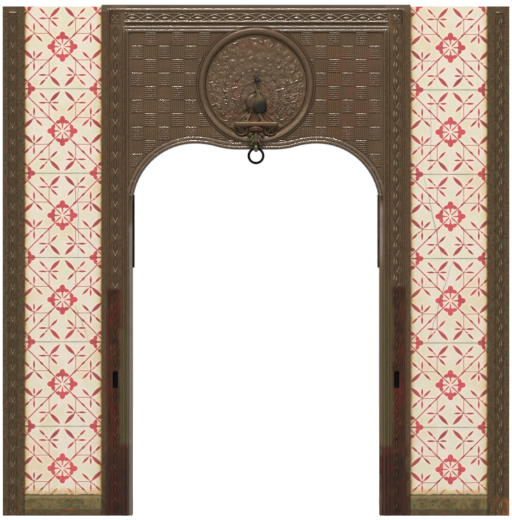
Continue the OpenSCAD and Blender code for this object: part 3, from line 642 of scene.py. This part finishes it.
def rail_material():
    """Olive iron of the bottom rails, with green, orange and dark stains."""
    s = Shade("iron_rail", {"Specular IOR Level": 0.25})
    patch = s.noise(16, 4, rough=0.6)
    other = s.noise(11, 4, stretch=(0.6, 1, 1.4), rough=0.6)
    grain = s.noise(1.5, 3, rough=0.6)
    s.tone = s.mix(patch.fade(0.35, 0.65), (116, 100, 62), (86, 74, 42))
    s.tint(other.fade(0.5, 0.66) * 0.8, (98, 106, 72))
    s.tint(other.fade(0.46, 0.32) * 0.85, (140, 86, 36))
    s.tint(s.noise(7, 3, rough=0.7).fade(0.52, 0.66) * 0.7, (50, 40, 26))
    # a light upper edge, painted shade darkening the foot, and dark open joints at both ends
    s.tint(s.z.fade(29, 34) * grain.fade(0.3, 0.5) * 0.55, (158, 138, 98))
    s.tint(s.z.fade(13.5, 10.5) * 0.65, (68, 52, 33))
    s.tint(s.wide.near(X_TILE, 67.6, 69.4) * 0.7, (34, 25, 16))
    # painted shade in corners and grooves
    s.shade_corners(4, 0.7, (36, 28, 20))
    s.tint(s.y.fade(-17.5, -14), s.mix(patch, (58, 46, 36), (92, 60, 42)))
    s.roughen(patch * 0.6 + grain * 0.4, 0.5, 0.8)
    return s.finish(grain * 0.6 + patch * 0.4, 0.4)


def plaster_material():
    """Old plaster with a sandy grain."""
    s = Shade("plaster_bed", {"Roughness": 0.9})
    grain = s.noise(2.5, 4, rough=0.7)
    s.tone = s.mix(s.noise(18, 4, rough=0.6).fade(0.3, 0.7), (186, 178, 160), (158, 146, 124))
    s.tint(grain.fade(0.6, 0.75) * 0.5, (120, 108, 92))
    return s.finish(grain, 0.8)


# ---- tiles

# one eighth of the print, in mm from a tile's middle: discs by centre and radius, leaves by start,
# end and half width
FLOWER_DISCS = (((22.6, 0), 4.7), ((20.8, 2.8), 2.5), ((16, 7.4), 3.2), ((16.8, 0), 4.2))
FLOWER_LEAVES = (((18.8, 1.2), (14.4, 12.8), 3.4), ((3.8, 0), (19, 0), 1.4))
SPRIG_DISC = ((57.2, 29), 1.45)
SPRIG_LEAVES = (
    ((52.5, 22.8), (72, 4), 3.3), ((58.6, 30.4), (70, 41.8), 2), ((51.2, 27.5), (51.2, 43.5), 1.75),
    ((48.6, 21.6), (35.5, 8.6), 2.1), ((33.5, 33.5), (41.5, 41.5), 1.9), ((17, 17), (26.5, 26.5), 1.7),
    ((2.4, 2.4), (10, 10), 1.1),
)
# these two are left out of every second eighth
TURNED_DISC = ((51.2, 21.4), 1.1)
TURNED_LEAF = ((51.2, 19.5), (51.2, 6), 1.7)
# cracks by both ends in X and Z, and half width
CRACKS = (
    ((303, 614), (336, 466), 0.55), ((356, 462), (311, 313), 0.55), ((-322, 616), (-320, 470), 0.35),
    ((-327, 380), (-303, 318), 0.45), ((316, 768), (316, 618), 0.3),
)
# from a difference of two sides to a distance from the diagonal
DIAGONAL = 0.7071
# half the width in which the print's edge fades out
SOFT = 0.35


def flower(s, point):
    """An eighth of a flower: half a petal and half its stamen."""
    discs = [s.disc(point, *row) for row in FLOWER_DISCS]
    return discs + [s.leaf(point, *row) for row in FLOWER_LEAVES]


def tile_print(s):
    """Distances from the parts of the print, below 0 inside. Every tile repeats it."""
    side = s.x.fade(-1, 1)
    across = s.x + PRINT_LEFT - side * (PRINT_LEFT + PRINT_RIGHT) + (s.noise(9, 2) - 0.5) * 0.9
    half = TILE_PITCH / 2
    upward = (s.z + side * RIGHT_DROP - FIRST_JOINT).wrap(TILE_PITCH) - half
    p = SimpleNamespace(off_centre=abs(upward))
    upward = upward + (s.noise(11, 2) - 0.5) * 0.9
    u, v = abs(across), abs(upward)
    a, b = u.most(v), u.least(v)
    # 1 in every second eighth of a tile, because the print turns like a pinwheel
    turned = (across * upward * (u - v)).fade(-20, 20)
    tile = s.point(a, b)
    p.petals = least_of(flower(s, tile) + flower(s, s.point(half - b, half - a)))
    leaves = [s.leaf(tile, *row) for row in SPRIG_LEAVES]
    leaves.append(s.disc(tile, *SPRIG_DISC))
    missing = (1 - turned) * 9
    leaves.append(s.leaf(tile, *TURNED_LEAF) + missing)
    leaves.append(s.disc(tile, *TURNED_DISC) + missing)
    p.shape = p.petals.least(least_of(leaves))
    p.diagonals = (abs(a - b) * DIAGONAL - 1.05).most(abs(a - 39) - 36.5)
    p.stems = least_of([
        (abs(a - b - 27.4) - 0.75).most(abs(a - 53) - 5.5),
        (abs(a + b - 75) * DIAGONAL - 0.6).most(abs(a - 52) - 2),
        (abs(a - 51.2) - 0.6).most(abs(b - 26) - 3.5),
    ])
    p.frames = (abs(b - 24) - 0.85).most(abs(a - 37.5) - 13)
    # stains grow in from the edges of the panels
    p.speck = s.noise(3, 3, rough=0.6)
    p.from_middle = abs(s.wide - X_TILE)
    p.ragged = (s.noise(16, 3) - 0.5) * 18
    p.stain = (p.from_middle + p.ragged).fade(58, 72)
    return p


def tile_glaze(s, p):
    """Cream glaze, pink round the print and yellow at the edges of the panels."""
    s.tone = s.mix(s.noise(26, 3).fade(0.35, 0.65), (220, 209, 194), (214, 208, 180))
    s.tint(s.noise(9, 2).fade(0.5, 0.66) * 0.6, (204, 208, 186))
    s.tint(s.noise(70, 3).fade(0.5, 0.7) * 0.5, (212, 190, 148))
    lines = least_of([p.diagonals, p.stems, p.frames])
    s.tint(p.shape.least(lines + 0.5).fade(4.6, 1.2) * 0.7, (238, 208, 192))
    s.tint(p.stain * 0.8, (226, 184, 88))


def tile_ink(s, p):
    """The print's lines, then its crimson petals and leaves, darker at the edges of the panels."""
    faded = s.noise(30, 3).fade(0.3, 0.6)
    petal_ink = s.mix(faded, (178, 56, 64), (200, 68, 76))
    ink = s.mix(p.petals.fade(0.6, -0.2), s.mix(faded, (138, 48, 48), (172, 60, 62)), petal_ink)
    ink = s.mix(p.speck.fade(0.5, 0.75) * 0.6, ink, (122, 42, 42))
    ink = s.mix((p.from_middle + p.ragged).fade(58, 68) * 0.75, ink, (112, 30, 20))
    s.tint(p.frames.fade(SOFT, -SOFT) * 0.85, (164, 112, 92))
    s.tint(p.stems.fade(SOFT, -SOFT) * 0.9, (142, 62, 56))
    s.tint(p.diagonals.fade(SOFT, -SOFT) * 0.92, s.mix(p.speck, (176, 72, 74), (126, 52, 50)))
    s.tint(p.shape.fade(SOFT, -SOFT) * (0.98 - p.speck.fade(0.62, 0.8) * 0.15), ink)


def tile_dirt(s, p):
    """Brown edges of the panels, dirty joints, a yellow-stained foot above the bottom rail with painted
    shade where it is broken, and cracks.
    """
    s.tint((p.from_middle + p.ragged * 0.4).fade(65.5, 70) * 0.7, (120, 74, 26))
    joint = p.off_centre.fade(75, 75.9)
    s.tint(joint * s.noise(22, 2).fade(0.3, 0.6) * 0.4 + joint * 0.35, (104, 96, 70))
    foot = (s.z + (s.noise(14, 3) - 0.5) * 26).fade(52, 40)
    s.tint(foot * 0.7, (206, 168, 92))
    # painted shade in the broken foot, just above the bottom rail
    foot = (s.z + (s.noise(7, 3) - 0.5) * 5).fade(40, 37.6)
    s.tint(foot * 0.9, (50, 38, 26))
    place = s.point(s.x + (s.noise(20, 2) - 0.5) * 7, s.z)
    cracks = least_of([s.leaf(place, *row) for row in CRACKS])
    s.tint(cracks.fade(SOFT, -0.1) * 0.75, (96, 84, 62))


def tile_material():
    """Cream glazed tiles with a crimson transfer print, on an unglazed body."""
    s = Shade("tile_print", {})
    p = tile_print(s)
    tile_glaze(s, p)
    tile_ink(s, p)
    tile_dirt(s, p)
    body = s.y.fade(-15.6, -14.8)
    s.tint(body, s.mix(p.speck, (176, 150, 122), (198, 178, 150)))
    s.roughen(body + p.stain * 0.25 + p.speck * 0.12, 0.16, 0.75)
    return s.finish(s.noise(24, 2) * 0.9 + p.speck * 0.1, 0.25)


# ---- ornament pieces

def in_weave(x, z):
    """True where the basket weave shows."""
    inside = (np.abs(x) < X_FACE - FIELD_IN) & (z < FRONT_H - FIELD_DROP - FIELD_IN)
    outside_ring = np.hypot(x, z - ROUNDEL_Z) > ROUNDEL_R + FIELD_IN
    return inside & outside_ring & above_arch(x, z, ARCH_EDGE + FIELD_IN)


def add_rib(form, start, end, base, rise):
    """The rounded top of one rib, cut off where the field ends."""
    share = np.linspace(0, 1, 61)
    path = np.outer(1 - share, start) + np.outer(share, end)
    shown = in_weave(path[:, 0], path[:, 1])
    if shown.sum() < 8:
        return
    first = int(np.argmax(shown))
    last = first + int(np.argmin(np.append(shown[first:], False))) - 1
    if last - first < 7:
        return
    part = np.linspace(share[first], share[last], 9)
    path = np.outer(1 - part, start) + np.outer(part, end)
    height = rise * (1 - 0.5 * (2 * part - 1) ** 2)
    height[[0, -1]] = 0.05
    form.stroke(path, RIB_PITCH / 2 - 0.35, height, base, across=7, sink=0.6)


def weave_ribs(iron):
    """Round tops on the ribs of the weave: upright and level by turns, as in a woven basket."""
    form = Relief()
    for side, col, row, k in product((-1, 1), range(-4, 6), range(13), range(RIBS)):
        x = WEAVE_EDGE_X + (col - 1) * WEAVE_PITCH
        z = WEAVE_TOP_Z + 0.3 - row * WEAVE_PITCH
        off = (k + 0.5) * RIB_PITCH
        if (row + col) % 2 == 0:
            start, end = (x + 0.6, z - off), (x + WEAVE_PITCH - 0.6, z - off)
            base, rise = Y_LEVEL_RIB + 0.05, 1.35 if k == 0 else 0.8
        else:
            start, end = (x + off, z - 1.6), (x + off, z - WEAVE_PITCH + 1.6)
            base, rise = Y_UPRIGHT_RIB + 0.05, 0.35
        add_rib(form, (side * start[0], start[1]), (side * end[0], end[1]), base, rise)
    form.build("weave_ribs", iron)


def add_chain(form, start, end, half_w, y0, rise, spot=1):
    """Round tops on a plaited chain: two strands that cross, with a leaf in each link."""
    start, end = np.asarray([start, end], float)
    run = end - start
    length = float(np.hypot(*run))
    along = run / length
    side = np.array([-along[1], along[0]])
    links = round(length / LINK_PITCH)
    step = length / links
    t = np.linspace(0, 1, 17)
    sway = 4 * t * (1 - t)
    leaf_rise = rise * 1.5 * spot
    for k in range(links):
        for sign in (-1, 1):
            path = start + np.outer((k + t) * step, along) + np.outer(sign * (half_w - 0.95) * sway, side)
            form.stroke(path, 0.95 + 0.25 * sway, rise * (0.55 + 0.45 * sway), y0 + 0.05, across=7)
        middle = start + along * (k + 0.5) * step
        reach = along * step * 0.25
        form.leaf(middle - reach, middle + reach, half_w * 0.36, leaf_rise, y0 + 0.4, steps=11, across=7)
        vein = np.outer(np.linspace(-0.7, 0.7, 5), reach) + middle
        form.stroke(vein, 0.35, 0.5, y0 + 0.3 - leaf_rise * 0.93)
        if k:
            crossing = start + along * k * step
            form.boss(crossing[0], crossing[1], 1.9, rise * 1.1 * spot, y0 + 0.4)


def border_ornament(iron):
    """The chain along the top and down the legs, with a flower square at each top corner."""
    form = Relief()
    z = TOP_CHAIN_Z
    add_chain(form, (-TOP_CHAIN_X, z), (TOP_CHAIN_X, z), 6.6, Y_CHAIN, 1.7)
    form.stroke([(-TOP_CHAIN_X, z + 8), (TOP_CHAIN_X, z + 8)], 0.75, 0.9, Y_CHAIN, across=7)
    form.stroke([(-TOP_CHAIN_X, z - 6.6), (TOP_CHAIN_X, z - 6.6)], 1.7, 1.6, Y_CHAIN, across=11)
    for x in (-X_BAND, X_BAND):
        for start, end in ((LEG_CHAIN_Z, HOOK_Z + HOOK_GAP), (HOOK_Z - HOOK_GAP, 3)):
            add_chain(form, (x, start), (x, end), 6.1, Y_CHAIN, 0.8, 1.5)
        corner = [(x - 9, z + 9), (x + 9, z + 9), (x + 9, z - 9), (x - 9, z - 9)]
        for k in range(4):
            form.stroke([corner[k], corner[(k + 1) % 4]], 0.9, 1.6, Y_BAND)
            turn = radians(90 * k + 45)
            tip = (x + 9.2 * cos(turn), z + 9.2 * sin(turn))
            form.leaf((x, z), tip, 1.9, 1.1, Y_CHAIN)
        form.boss(x, z, 2.3, 1.6, Y_CHAIN)
    form.build("border_ornament", iron)


def stile_ornament(iron):
    """The chain up each outer stile, closed by a short bar at its top."""
    form = Relief()
    for x in (-X_STILE_BAND, X_STILE_BAND):
        add_chain(form, (x, STILE_CHAIN_Z), (x, 905), 5.45, Y_STILE_CHAIN, 0.8, 1.5)
        form.stroke([(x - 6.6, 909), (x + 6.6, 909)], 1.4, 1.2, Y_FACE + 1)
    form.build("stile_ornament", iron)


# ---- roundel

FEATHERS = 21
FAN_START = -25
FAN_SPAN = 230


def fan_reach(angle):
    """From the start of the fan to the rim of the disc."""
    d = ROUNDEL_Z - FAN_Z
    r = DISC_R - 5
    return d * np.sin(angle) + np.sqrt(r * r - (d * np.cos(angle)) ** 2)


def feather_height(x, z):
    """Height of the fan of feathers over the ground of the disc."""
    angle = np.arctan2(z - FAN_Z, x)
    angle = np.where(angle < radians(-90), angle + 2 * pi, angle)
    rho = np.hypot(x, z - FAN_Z)
    reach = fan_reach(angle)
    degrees = np.degrees(angle)
    fan = np.clip((degrees - FAN_START + 6) / 5, 0, 1)
    fan = fan * np.clip((FAN_START + FAN_SPAN + 6 - degrees) / 5, 0, 1)
    height = np.zeros_like(x)
    step = FAN_SPAN / (FEATHERS - 1)
    for row, tip in enumerate((1, 0.8, 0.62, 0.46, 0.32)):
        place = (degrees - FAN_START) / step - 0.5 * (row % 2)
        off = place - np.round(place)
        across = off * 2
        along = (tip * reach - rho) / (0.24 * reach)
        outline = 1 - across ** 2 - np.clip(1 - along * 2, 0, 2) ** 2
        blade = np.sqrt(np.clip(outline, 0, 1)) * (along > 0)
        lift = 1.1 + 0.45 * row
        vane = lift * np.clip(blade * 1.5, 0, 1) - 0.5 * np.clip(along - 0.5, 0, 2)
        side = off * step * pi / 180 * rho
        eye_off = np.hypot(side, (along - 0.5) * 0.24 * reach)
        size = 4 - 0.5 * row
        eye = 1.7 * np.exp(-(eye_off / size) ** 4) - 0.9 * np.exp(-((eye_off - size * 1.35) / 0.9) ** 2)
        shaft = 0.8 * np.exp(-(side / 0.8) ** 2) * (along > 0.9)
        sideways = np.clip(np.abs(np.cos(angle)) * 1.6 - 0.6, 0, 1)
        eye *= 0.6 + 0.4 * sideways
        strong = 0.3 + 0.3 * sideways
        barbs = strong * np.cos((across * 2.5 + along * 1.6 * np.sign(across)) * pi) * (blade > 0.1)
        feather = vane + (eye + barbs + shaft) * np.clip(blade * 2, 0, 1)
        height = np.maximum(height, feather * (blade > 0))
    ground = 0.5 + 0.4 * np.cos(np.radians(degrees) * 34)
    return fan * height + (1 - fan) * ground


def relief_disc(iron):
    """The disc behind the bird, in one piece."""
    rings, spokes = 116, 640
    r = np.linspace(0.02, 1, rings) * (DISC_R - 0.3)
    turn = circle(spokes)
    x = np.outer(r, np.cos(turn))
    dz = np.outer(r, np.sin(turn))
    rough, shift_x, shift_z = (np.empty(x.size) for _ in range(3))
    for k, place in enumerate(zip(x.ravel(), dz.ravel())):
        p = Vector((*place, 0))
        rough[k] = 1.8 * noise.noise(p / 9) + 0.5 * noise.noise(p / 4 + Vector((40, 9, 3)))
        shift_x[k] = 2.2 * noise.noise(p / 11 + Vector((7, 31, 5)))
        shift_z[k] = 2.2 * noise.noise(p / 11 + Vector((19, 2, 44)))
    rough, shift_x, shift_z = (part.reshape(x.shape) for part in (rough, shift_x, shift_z))
    height = feather_height(x + shift_x, ROUNDEL_Z + dz + shift_z)
    rim = np.clip((DISC_R - r) / 4, 0, 1)[:, None]
    y = Y_DISC - (height + rough * 0.8 + 0.4) * rim
    y[-1] = Y_DISC + 2
    form = Relief()
    form.grid(np.stack([x, y, ROUNDEL_Z + dz], axis=-1), closed=True)
    disc = form.build("relief_disc", iron)
    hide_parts("roundel_plaque")


# shafts and barbs that stand highest and carry the painted highlight: both ends in X and Z, from the left
# round to the right
QUILLS = (
    ((-86, 782), (-76, 785)), ((-78, 780), (-69, 778)), ((-81, 742), (-73, 744)), ((-72, 745), (-63, 741)),
    ((-60, 713), (-46, 717)), ((-45, 772), (-31, 775)), ((-45, 755), (-31, 751)), ((-72, 814), (-64, 815)),
    ((-56, 827), (-49, 831)), ((-45, 851), (-32, 856)), ((-12, 861), (5, 862)), ((6, 858), (13, 853)),
    ((24, 846), (31, 852)), ((19, 824), (25, 828)), ((21, 806), (28, 809)), ((38, 808), (46, 812)),
    ((62, 798), (70, 805)), ((32, 766), (55, 771)), ((67, 782), (79, 787)), ((64, 757), (81, 764)),
    ((53, 745), (61, 746)), ((62, 746), (74, 749)), ((36, 717), (42, 720)), ((42, 714), (51, 716)),
    ((-60, 768), (-50, 766)), ((-58, 752), (-49, 750)),
)


def worn_glint_quills(worn):
    """The highest shafts of the fan, rubbed bare and carrying a painted highlight."""
    form = Relief()
    for start, end in QUILLS:
        turn = atan2((start[1] + end[1]) / 2 - FAN_Z, (start[0] + end[0]) / 2)
        x = np.array([start[0], end[0]], float)
        z = np.array([start[1], end[1]], float)
        level = Y_DISC - 0.9 - float(feather_height(x, z).max())
        form.leaf(start, end, 1.25, 1.3, level, steps=9, bend=0.06 * cos(turn), across=9)
    form.build("worn_glint_quills", worn)


def bird_body(form, y):
    """The breast, an egg that stands on its point, and the back behind it."""
    share = np.linspace(-1, 1, 15)
    egg = np.sqrt(np.clip(1 - share ** 2, 0.0004, 1)) * (1 - 0.12 * share)
    path = np.stack([6.9 - 1.5 * share, np.full(15, y - 5.5), 743.5 + 19.5 * share], axis=1)
    form.tube(path, np.stack([12.2 * egg, 8.6 * egg], axis=1), 24)
    path = np.stack([-6.5 + 3 * share, np.full(15, y - 3.2), 748 + 14.5 * share], axis=1)
    form.tube(path, np.stack([12.5 * egg, 7.8 * egg], axis=1), 24)


def bird_head(form, y):
    """The neck, the head with its beak, and five crest feathers with a bead at each tip."""
    neck = [(5, y - 6.5, 756), (4.2, y - 7.5, 762), (1.8, y - 8.4, 767), (-0.8, y - 8.8, 773),
            (-0.8, y - 8.8, 779), (1.2, y - 8.6, 783)]
    form.tube(neck, [(6.5, 6), (3.6, 3.8), (2.3, 2.5), (1.8, 2), (1.8, 2), (2.2, 2.3)], 16)
    head = [(-1.8, y - 8, 783.5), (-0.6, y - 8.4, 785), (2.2, y - 8.8, 786.3), (5, y - 8.8, 786),
            (7.2, y - 8.5, 784.6), (11.5, y - 8.2, 782)]
    form.tube(head, [(0.3, 0.3), (2.9, 2.7), (3.8, 3.4), (3.1, 2.8), (1.5, 1.4), (0.2, 0.2)], 14)
    for k in range(5):
        turn = radians(70 + 17 * k)
        tip = (1.6 + 9 * cos(turn), 788 + 7.5 * sin(turn))
        form.stroke([(1.6, 788), tip], 0.45, 1, y - 6.5)
        form.boss(tip[0], tip[1], 1.1, 1.3, y - 6.2)


def bird(iron):
    """A bird in its pride, facing right: body, breast, thin neck, crested head, wings and legs."""
    form = Relief()
    y = Y_DISC
    bird_body(form, y)
    bird_head(form, y)
    # wing feathers over the back, and the tip of the far wing
    for k in range(6):
        lean = k / 5
        start = (1 - 5 * lean, 762 - 4 * lean)
        end = (-13 + 4 * lean, 738 - 3 * lean)
        form.leaf(start, end, 2, 1.7, y - 9.6 + 2 * lean, steps=12, bend=-0.12, across=7)
    form.leaf((-15, 758), (-24, 740), 2.4, 3.6, y - 1.5, bend=-0.1, across=7)
    form.leaf((-13, 752), (-19, 737), 2.2, 4.4, y - 1.5, bend=-0.1, across=7)
    for (x, z), foot in (((-6, 735), -16.8), ((2, 731), 13.7)):
        form.tube([(x, y - 5, z), (x + (foot - x) * 0.3, y - 5.6, z - 6), (foot, y - 5.8, 712)],
                  [(3.2, 3), (1.7, 1.7), (1.4, 1.4)], 10)
        for toe in (-5, 0.5, 5):
            form.stroke([(foot, 712.8), (foot + toe, 711.8)], 1, 1.8, y - 6)
    figure = form.build("bird_relief", iron)
    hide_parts("bird_figure")


# the shelf's moulding: distance from the seat and height
SHELF = (
    (0, 711), (-13.2, 711), (-14.6, 710.4), (-15, 709.2), (-14.4, 708), (-12.2, 707.4),
    (-11.8, 706.2), (-12.2, 705.4), (-10.8, 704), (-8.6, 703.2), (-7.6, 702), (0, 701.6),
)
# the shield behind the leaves: height and half width
SHIELD = ((707, 19), (690, 17), (680, 14.5), (670.5, 11.5), (666.5, 8))
# round lobes between the leaves: place in X and Z, radius and rise
LOBES = ((9.5, 688.5, 5.6, 6.6), (11.8, 679, 5, 6.2), (7.6, 671, 4.6, 7), (4.8, 680.5, 4.2, 8.2))
# leaves that spread from under the cap: tip, root, half width, rise and bend
CAP_LEAVES = (
    ((20.5, 687), (5, 697), 4.4, 7.5, -0.2),
    ((17.5, 677), (4, 692), 4.6, 8.6, -0.2),
    ((12.5, 668.5), (2.5, 686), 4.2, 9.2, -0.14),
)


def bracket_shelf(form, y):
    """The shelf, a moulding swept across and closed at both ends, and the shield under it."""
    x = np.linspace(-38.5, 38.5, 25)
    bar = np.zeros((len(x) + 2, len(SHELF), 3))
    for i, px in enumerate([x[0], *x, x[-1]]):
        closed = 0.02 if i in (0, len(x) + 1) else 1
        for j, (dy, z) in enumerate(SHELF):
            bar[i, j] = (px, y + dy * closed, 706 + (z - 706) * closed)
    form.grid(bar)
    shield = []
    for z, half in SHIELD:
        row = [(half * share, y - 2.6, z) for share in (-0.93, -0.4, 0, 0.4, 0.93)]
        shield.append([(-half, y + 0.4, z), *row, (half, y + 0.4, z)])
    shield.append([(px * 0.9, y + 0.4, 665) for px, _, _ in shield[-1]])
    form.grid(np.array(shield))


def bracket_half(form, side, y):
    """One side: round lobes, the knob at the shelf's end, the scroll, and leaves under the cap."""
    def flip(path):
        return np.asarray(path, float) * (side, 1)

    for x, z, r, up in LOBES:
        form.boss(side * x, z, r, up, y - 1, rings=5, spokes=14)
        form.stroke(flip([(x - 3, z + 3), (x + 2.4, z - 2.6)]), 0.7, 1, y - up - 0.6)
    form.boss(side * 37.6, 708.6, 2.3, 14.5, y)
    # the scroll falls from the shelf's end, turns in below and curls up
    outer = np.concatenate([[(38, 708), (38.4, 703)], spiral_path(25.5, 699, 12.8, 9.5, 8, -170, 26)])
    form.stroke(flip(outer), np.linspace(1.6, 2.6, 28), np.linspace(6, 9, 28), y, 7)
    curl = spiral_path(21.6, 698.4, 5.6, 2.2, -170, -420, 24)
    form.stroke(flip(curl), np.linspace(2.1, 1.3, 24), np.linspace(9, 8, 24), y, 7)
    form.boss(side * 21.4, 698.6, 2.2, 9.5, y)
    form.leaf(flip((37, 700)), flip((29, 686)), 2.2, 5, y, bend=-0.2 * side, across=7)
    for tip, root, w, rise, bend in CAP_LEAVES:
        form.leaf(flip(root), flip(tip), w, rise, y - 1, steps=14, bend=bend * side, across=9)
        middle = ((root[0] + tip[0]) / 2 + 1.2, (root[1] + tip[1]) / 2 + 1)
        form.stroke(flip([root, middle, tip]), [0.7, 0.6, 0.2], [1.6, 1.4, 0.4], y - rise - 0.2)
        for lobe in (0.45, 0.75):
            at = (root[0] + (tip[0] - root[0]) * lobe, root[1] + (tip[1] - root[1]) * lobe)
            form.leaf(flip(at), flip((at[0] + 4.2, at[1] - 0.6)), 1.7, rise - 0.8, y - 1)
    form.boss(side * 12.5, 702, 3, 9, y)


def bracket_cap(form, y):
    """The ribbed oval cap under the shelf, and the middle leaf that hangs from it."""
    bends = [(-14.5, -5, 697), (-12, -6, 698), (-6, -6.6, 699.4), (0, -7, 700)]
    bends += [(-x, dy, z) for x, dy, z in bends[2::-1]]
    radii = [(0.4, 0.4), (3.4, 4), (4.8, 5.4), (5.2, 5.8)]
    form.tube([(x, y + dy, z) for x, dy, z in bends], radii + radii[2::-1], 14)
    for z in (697, 700.5):
        form.stroke([(-9, z - 1.5), (0, z), (9, z - 1.5)], [0.4, 0.8, 0.4], 1, y - 12)
    form.leaf((0, 697), (0, 667), 6.4, 10.4, y - 1, steps=16, across=9)
    form.stroke([(0, 693), (0, 684), (0, 676), (0, 669)], [1.1, 0.9, 0.7, 0.3], 1.7, y - 10.6)


def ring_eye(form):
    """The neck under the leaves and the eye that holds the ring."""
    turn = np.linspace(0, 2 * pi, 41)[:, None]
    section = circle(12)[None, :]
    r = EYE_R + 1.55 + 1.45 * np.cos(section)
    across = np.broadcast_to(3.4 * np.sin(section), (41, 12))
    eye = np.stack([across, RING_Y + r * np.cos(turn), EYE_Z + r * np.sin(turn)], axis=-1)
    form.grid(eye, closed=True)
    neck = [(0, Y_SEAT + 0.5, 671.5), (0, Y_SEAT - 3, 671), (0, Y_SEAT - 6, 669.8), (0, RING_Y, 669.5)]
    form.tube(neck, [(4, 3.2), (4, 2.6), (3.6, 1.8), (2.6, 1)], 12)


def bracket(iron):
    """The shelf with its two scrolls, the cap and the hanging leaves."""
    form = Relief()
    bracket_shelf(form, Y_SEAT)
    for side in (-1, 1):
        bracket_half(form, side, Y_SEAT)
    bracket_cap(form, Y_SEAT)
    ring_eye(form)
    carving = form.build("bracket_relief", iron)
    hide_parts("console_bracket")


# ---- stage

def lamp(name, place, aim, width, height, power):
    """A rectangular area lamp, its width along X when it is aimed from the front."""
    data = bpy.data.lights.new(name, "AREA")
    data.shape = "RECTANGLE"
    data.size = width
    data.size_y = height
    data.energy = power
    light = put(name, data)
    light.location = place
    light.rotation_euler = (Vector(aim) - Vector(place)).to_track_quat("-Z", "Y").to_euler()


def world_light(level):
    """White behind the object and in its reflections, and a plain soft light on it."""
    world = bpy.data.worlds.new("studio")
    scene.world = world
    world.use_nodes = True
    tree = world.node_tree
    tree.nodes.clear()
    rays = add_node(tree, "ShaderNodeLightPath", {}).outputs
    shine = {0: rays["Is Glossy Ray"], 1: rays["Is Transmission Ray"]}
    shine = add_node(tree, "ShaderNodeMath", shine, operation="MAXIMUM")
    seen = {0: rays["Is Camera Ray"], 1: shine.outputs[0]}
    seen = add_node(tree, "ShaderNodeMath", seen, operation="MAXIMUM")
    strength = add_node(tree, "ShaderNodeMapRange", {0: seen.outputs[0], 3: level, 4: 1})
    back = add_node(tree, "ShaderNodeBackground", {0: (1, 1, 1, 1), 1: strength.outputs[0]})
    add_node(tree, "ShaderNodeOutputWorld", {0: back.outputs[0]})


def floor_material():
    """White to the camera, with the object's shadow kept."""
    material = bpy.data.materials.new("studio_floor")
    material.use_nodes = True
    tree = material.node_tree
    plain = tree.nodes["Principled BSDF"]
    feed(tree, plain, {"Base Color": (0.95, 0.95, 0.95, 1), "Roughness": 0.9})
    glow = add_node(tree, "ShaderNodeEmission", {"Color": (1, 1, 1, 1), "Strength": 1.5})
    share = {0: add_node(tree, "ShaderNodeLightPath", {}).outputs["Is Camera Ray"], 1: 0.6}
    share = add_node(tree, "ShaderNodeMath", share, operation="MULTIPLY")
    mix = {0: share.outputs[0], 1: plain.outputs[0], 2: glow.outputs[0]}
    mix = add_node(tree, "ShaderNodeMixShader", mix)
    feed(tree, tree.nodes["Material Output"], {0: mix.outputs[0]})
    return material


def camera():
    """Square on from the front. Lengths are in metres, apart from the sensor's and the lens's."""
    distance, to_face, picture, sensor = 8, 0.02, 0.9391, 36
    eye = put("camera", bpy.data.cameras.new("camera"))
    eye.location = (0, -distance, 0.462)
    eye.rotation_euler = (radians(90), 0, 0)
    eye.data.sensor_width = sensor
    eye.data.lens = sensor * (distance - to_face) / picture
    eye.data.clip_end = 100
    scene.camera = eye


def studio():
    """A white floor, two lamps, the world's light and the camera, all in metres."""
    mesh = bpy.data.meshes.new("floor")
    mesh.from_pydata([(-6, -6, 0), (6, -6, 0), (6, 6, 0), (-6, 6, 0)], [], [(0, 1, 2, 3)])
    mesh.materials.append(floor_material())
    floor = put("floor", mesh)
    lamp("key", (-0.7, -3.2, 6.3), (0, 0, 0.45), 3, 0.5, 450)
    lamp("fill", (1.6, -3.4, 0.9), (0, 0, 0.45), 2.2, 2.2, 8)
    world_light(0.24)
    camera()
    scene.view_settings.view_transform = "Standard"


# ---- put together

def dress(material, nodes):
    """Gives a material to nodes of the CAD."""
    for name in nodes:
        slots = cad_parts[name].data.materials
        slots.clear()
        slots.append(material)


iron = iron_material()
# near-black iron for the left hood rail stands in as painted shade, as it lies in shade inside the opening
black = plain_iron("iron_black", (24, 21, 18), (14, 13, 12), (50, 34, 26), 0.35, 0.6, 0.1)
rusty = plain_iron("iron_rusty", (84, 54, 38), (52, 34, 26), (98, 52, 34), 0.6, 0.7, 0.2)
ring = plain_iron("ring_black", (15, 15, 13), (9, 9, 8), (22, 18, 14), 0.2, 0.75, 0.08)
rail = rail_material()
tray = plain_iron("iron_tray", (62, 54, 47), (46, 39, 34), (104, 62, 42), 0.6, 0.62)
steel = plain_iron("fixing_steel", (92, 86, 80), (66, 60, 55), (112, 66, 44), 0.5, 0.5)
plaster = plaster_material()
glaze = tile_material()

dress(iron, ["arch_plate", "roundel_plaque", "bird_figure", "console_bracket"])
dress(ring, ["pull_ring"])
dress(steel, ["plaque_rivets", "bracket_screws", "bird_stud_nut"])
# the left hood rail takes the near-black iron that stands in as painted shade
for hand, hood in (("left", black), ("right", rusty)):
    dress(iron, [f"{hand}_outer_stile"])
    dress(rail, [f"{hand}_bottom_rail"])
    dress(hood, [f"{hand}_hood_rail"])
    dress(glaze, [f"{hand}_tile_{k}" for k in range(1, 7)])
    dress(plaster, [f"{hand}_plaster_bed"])
    dress(tray, [f"{hand}_tile_tray"])
    dress(steel, [f"{hand}_tray_bolts", f"{hand}_rail_bolts", f"{hand}_hood_bolts"])

weave_ribs(iron)
border_ornament(iron)
stile_ornament(iron)
relief_disc(iron)
worn_glint_quills(worn_glint_material())
bird(iron)
bracket(iron)
studio()
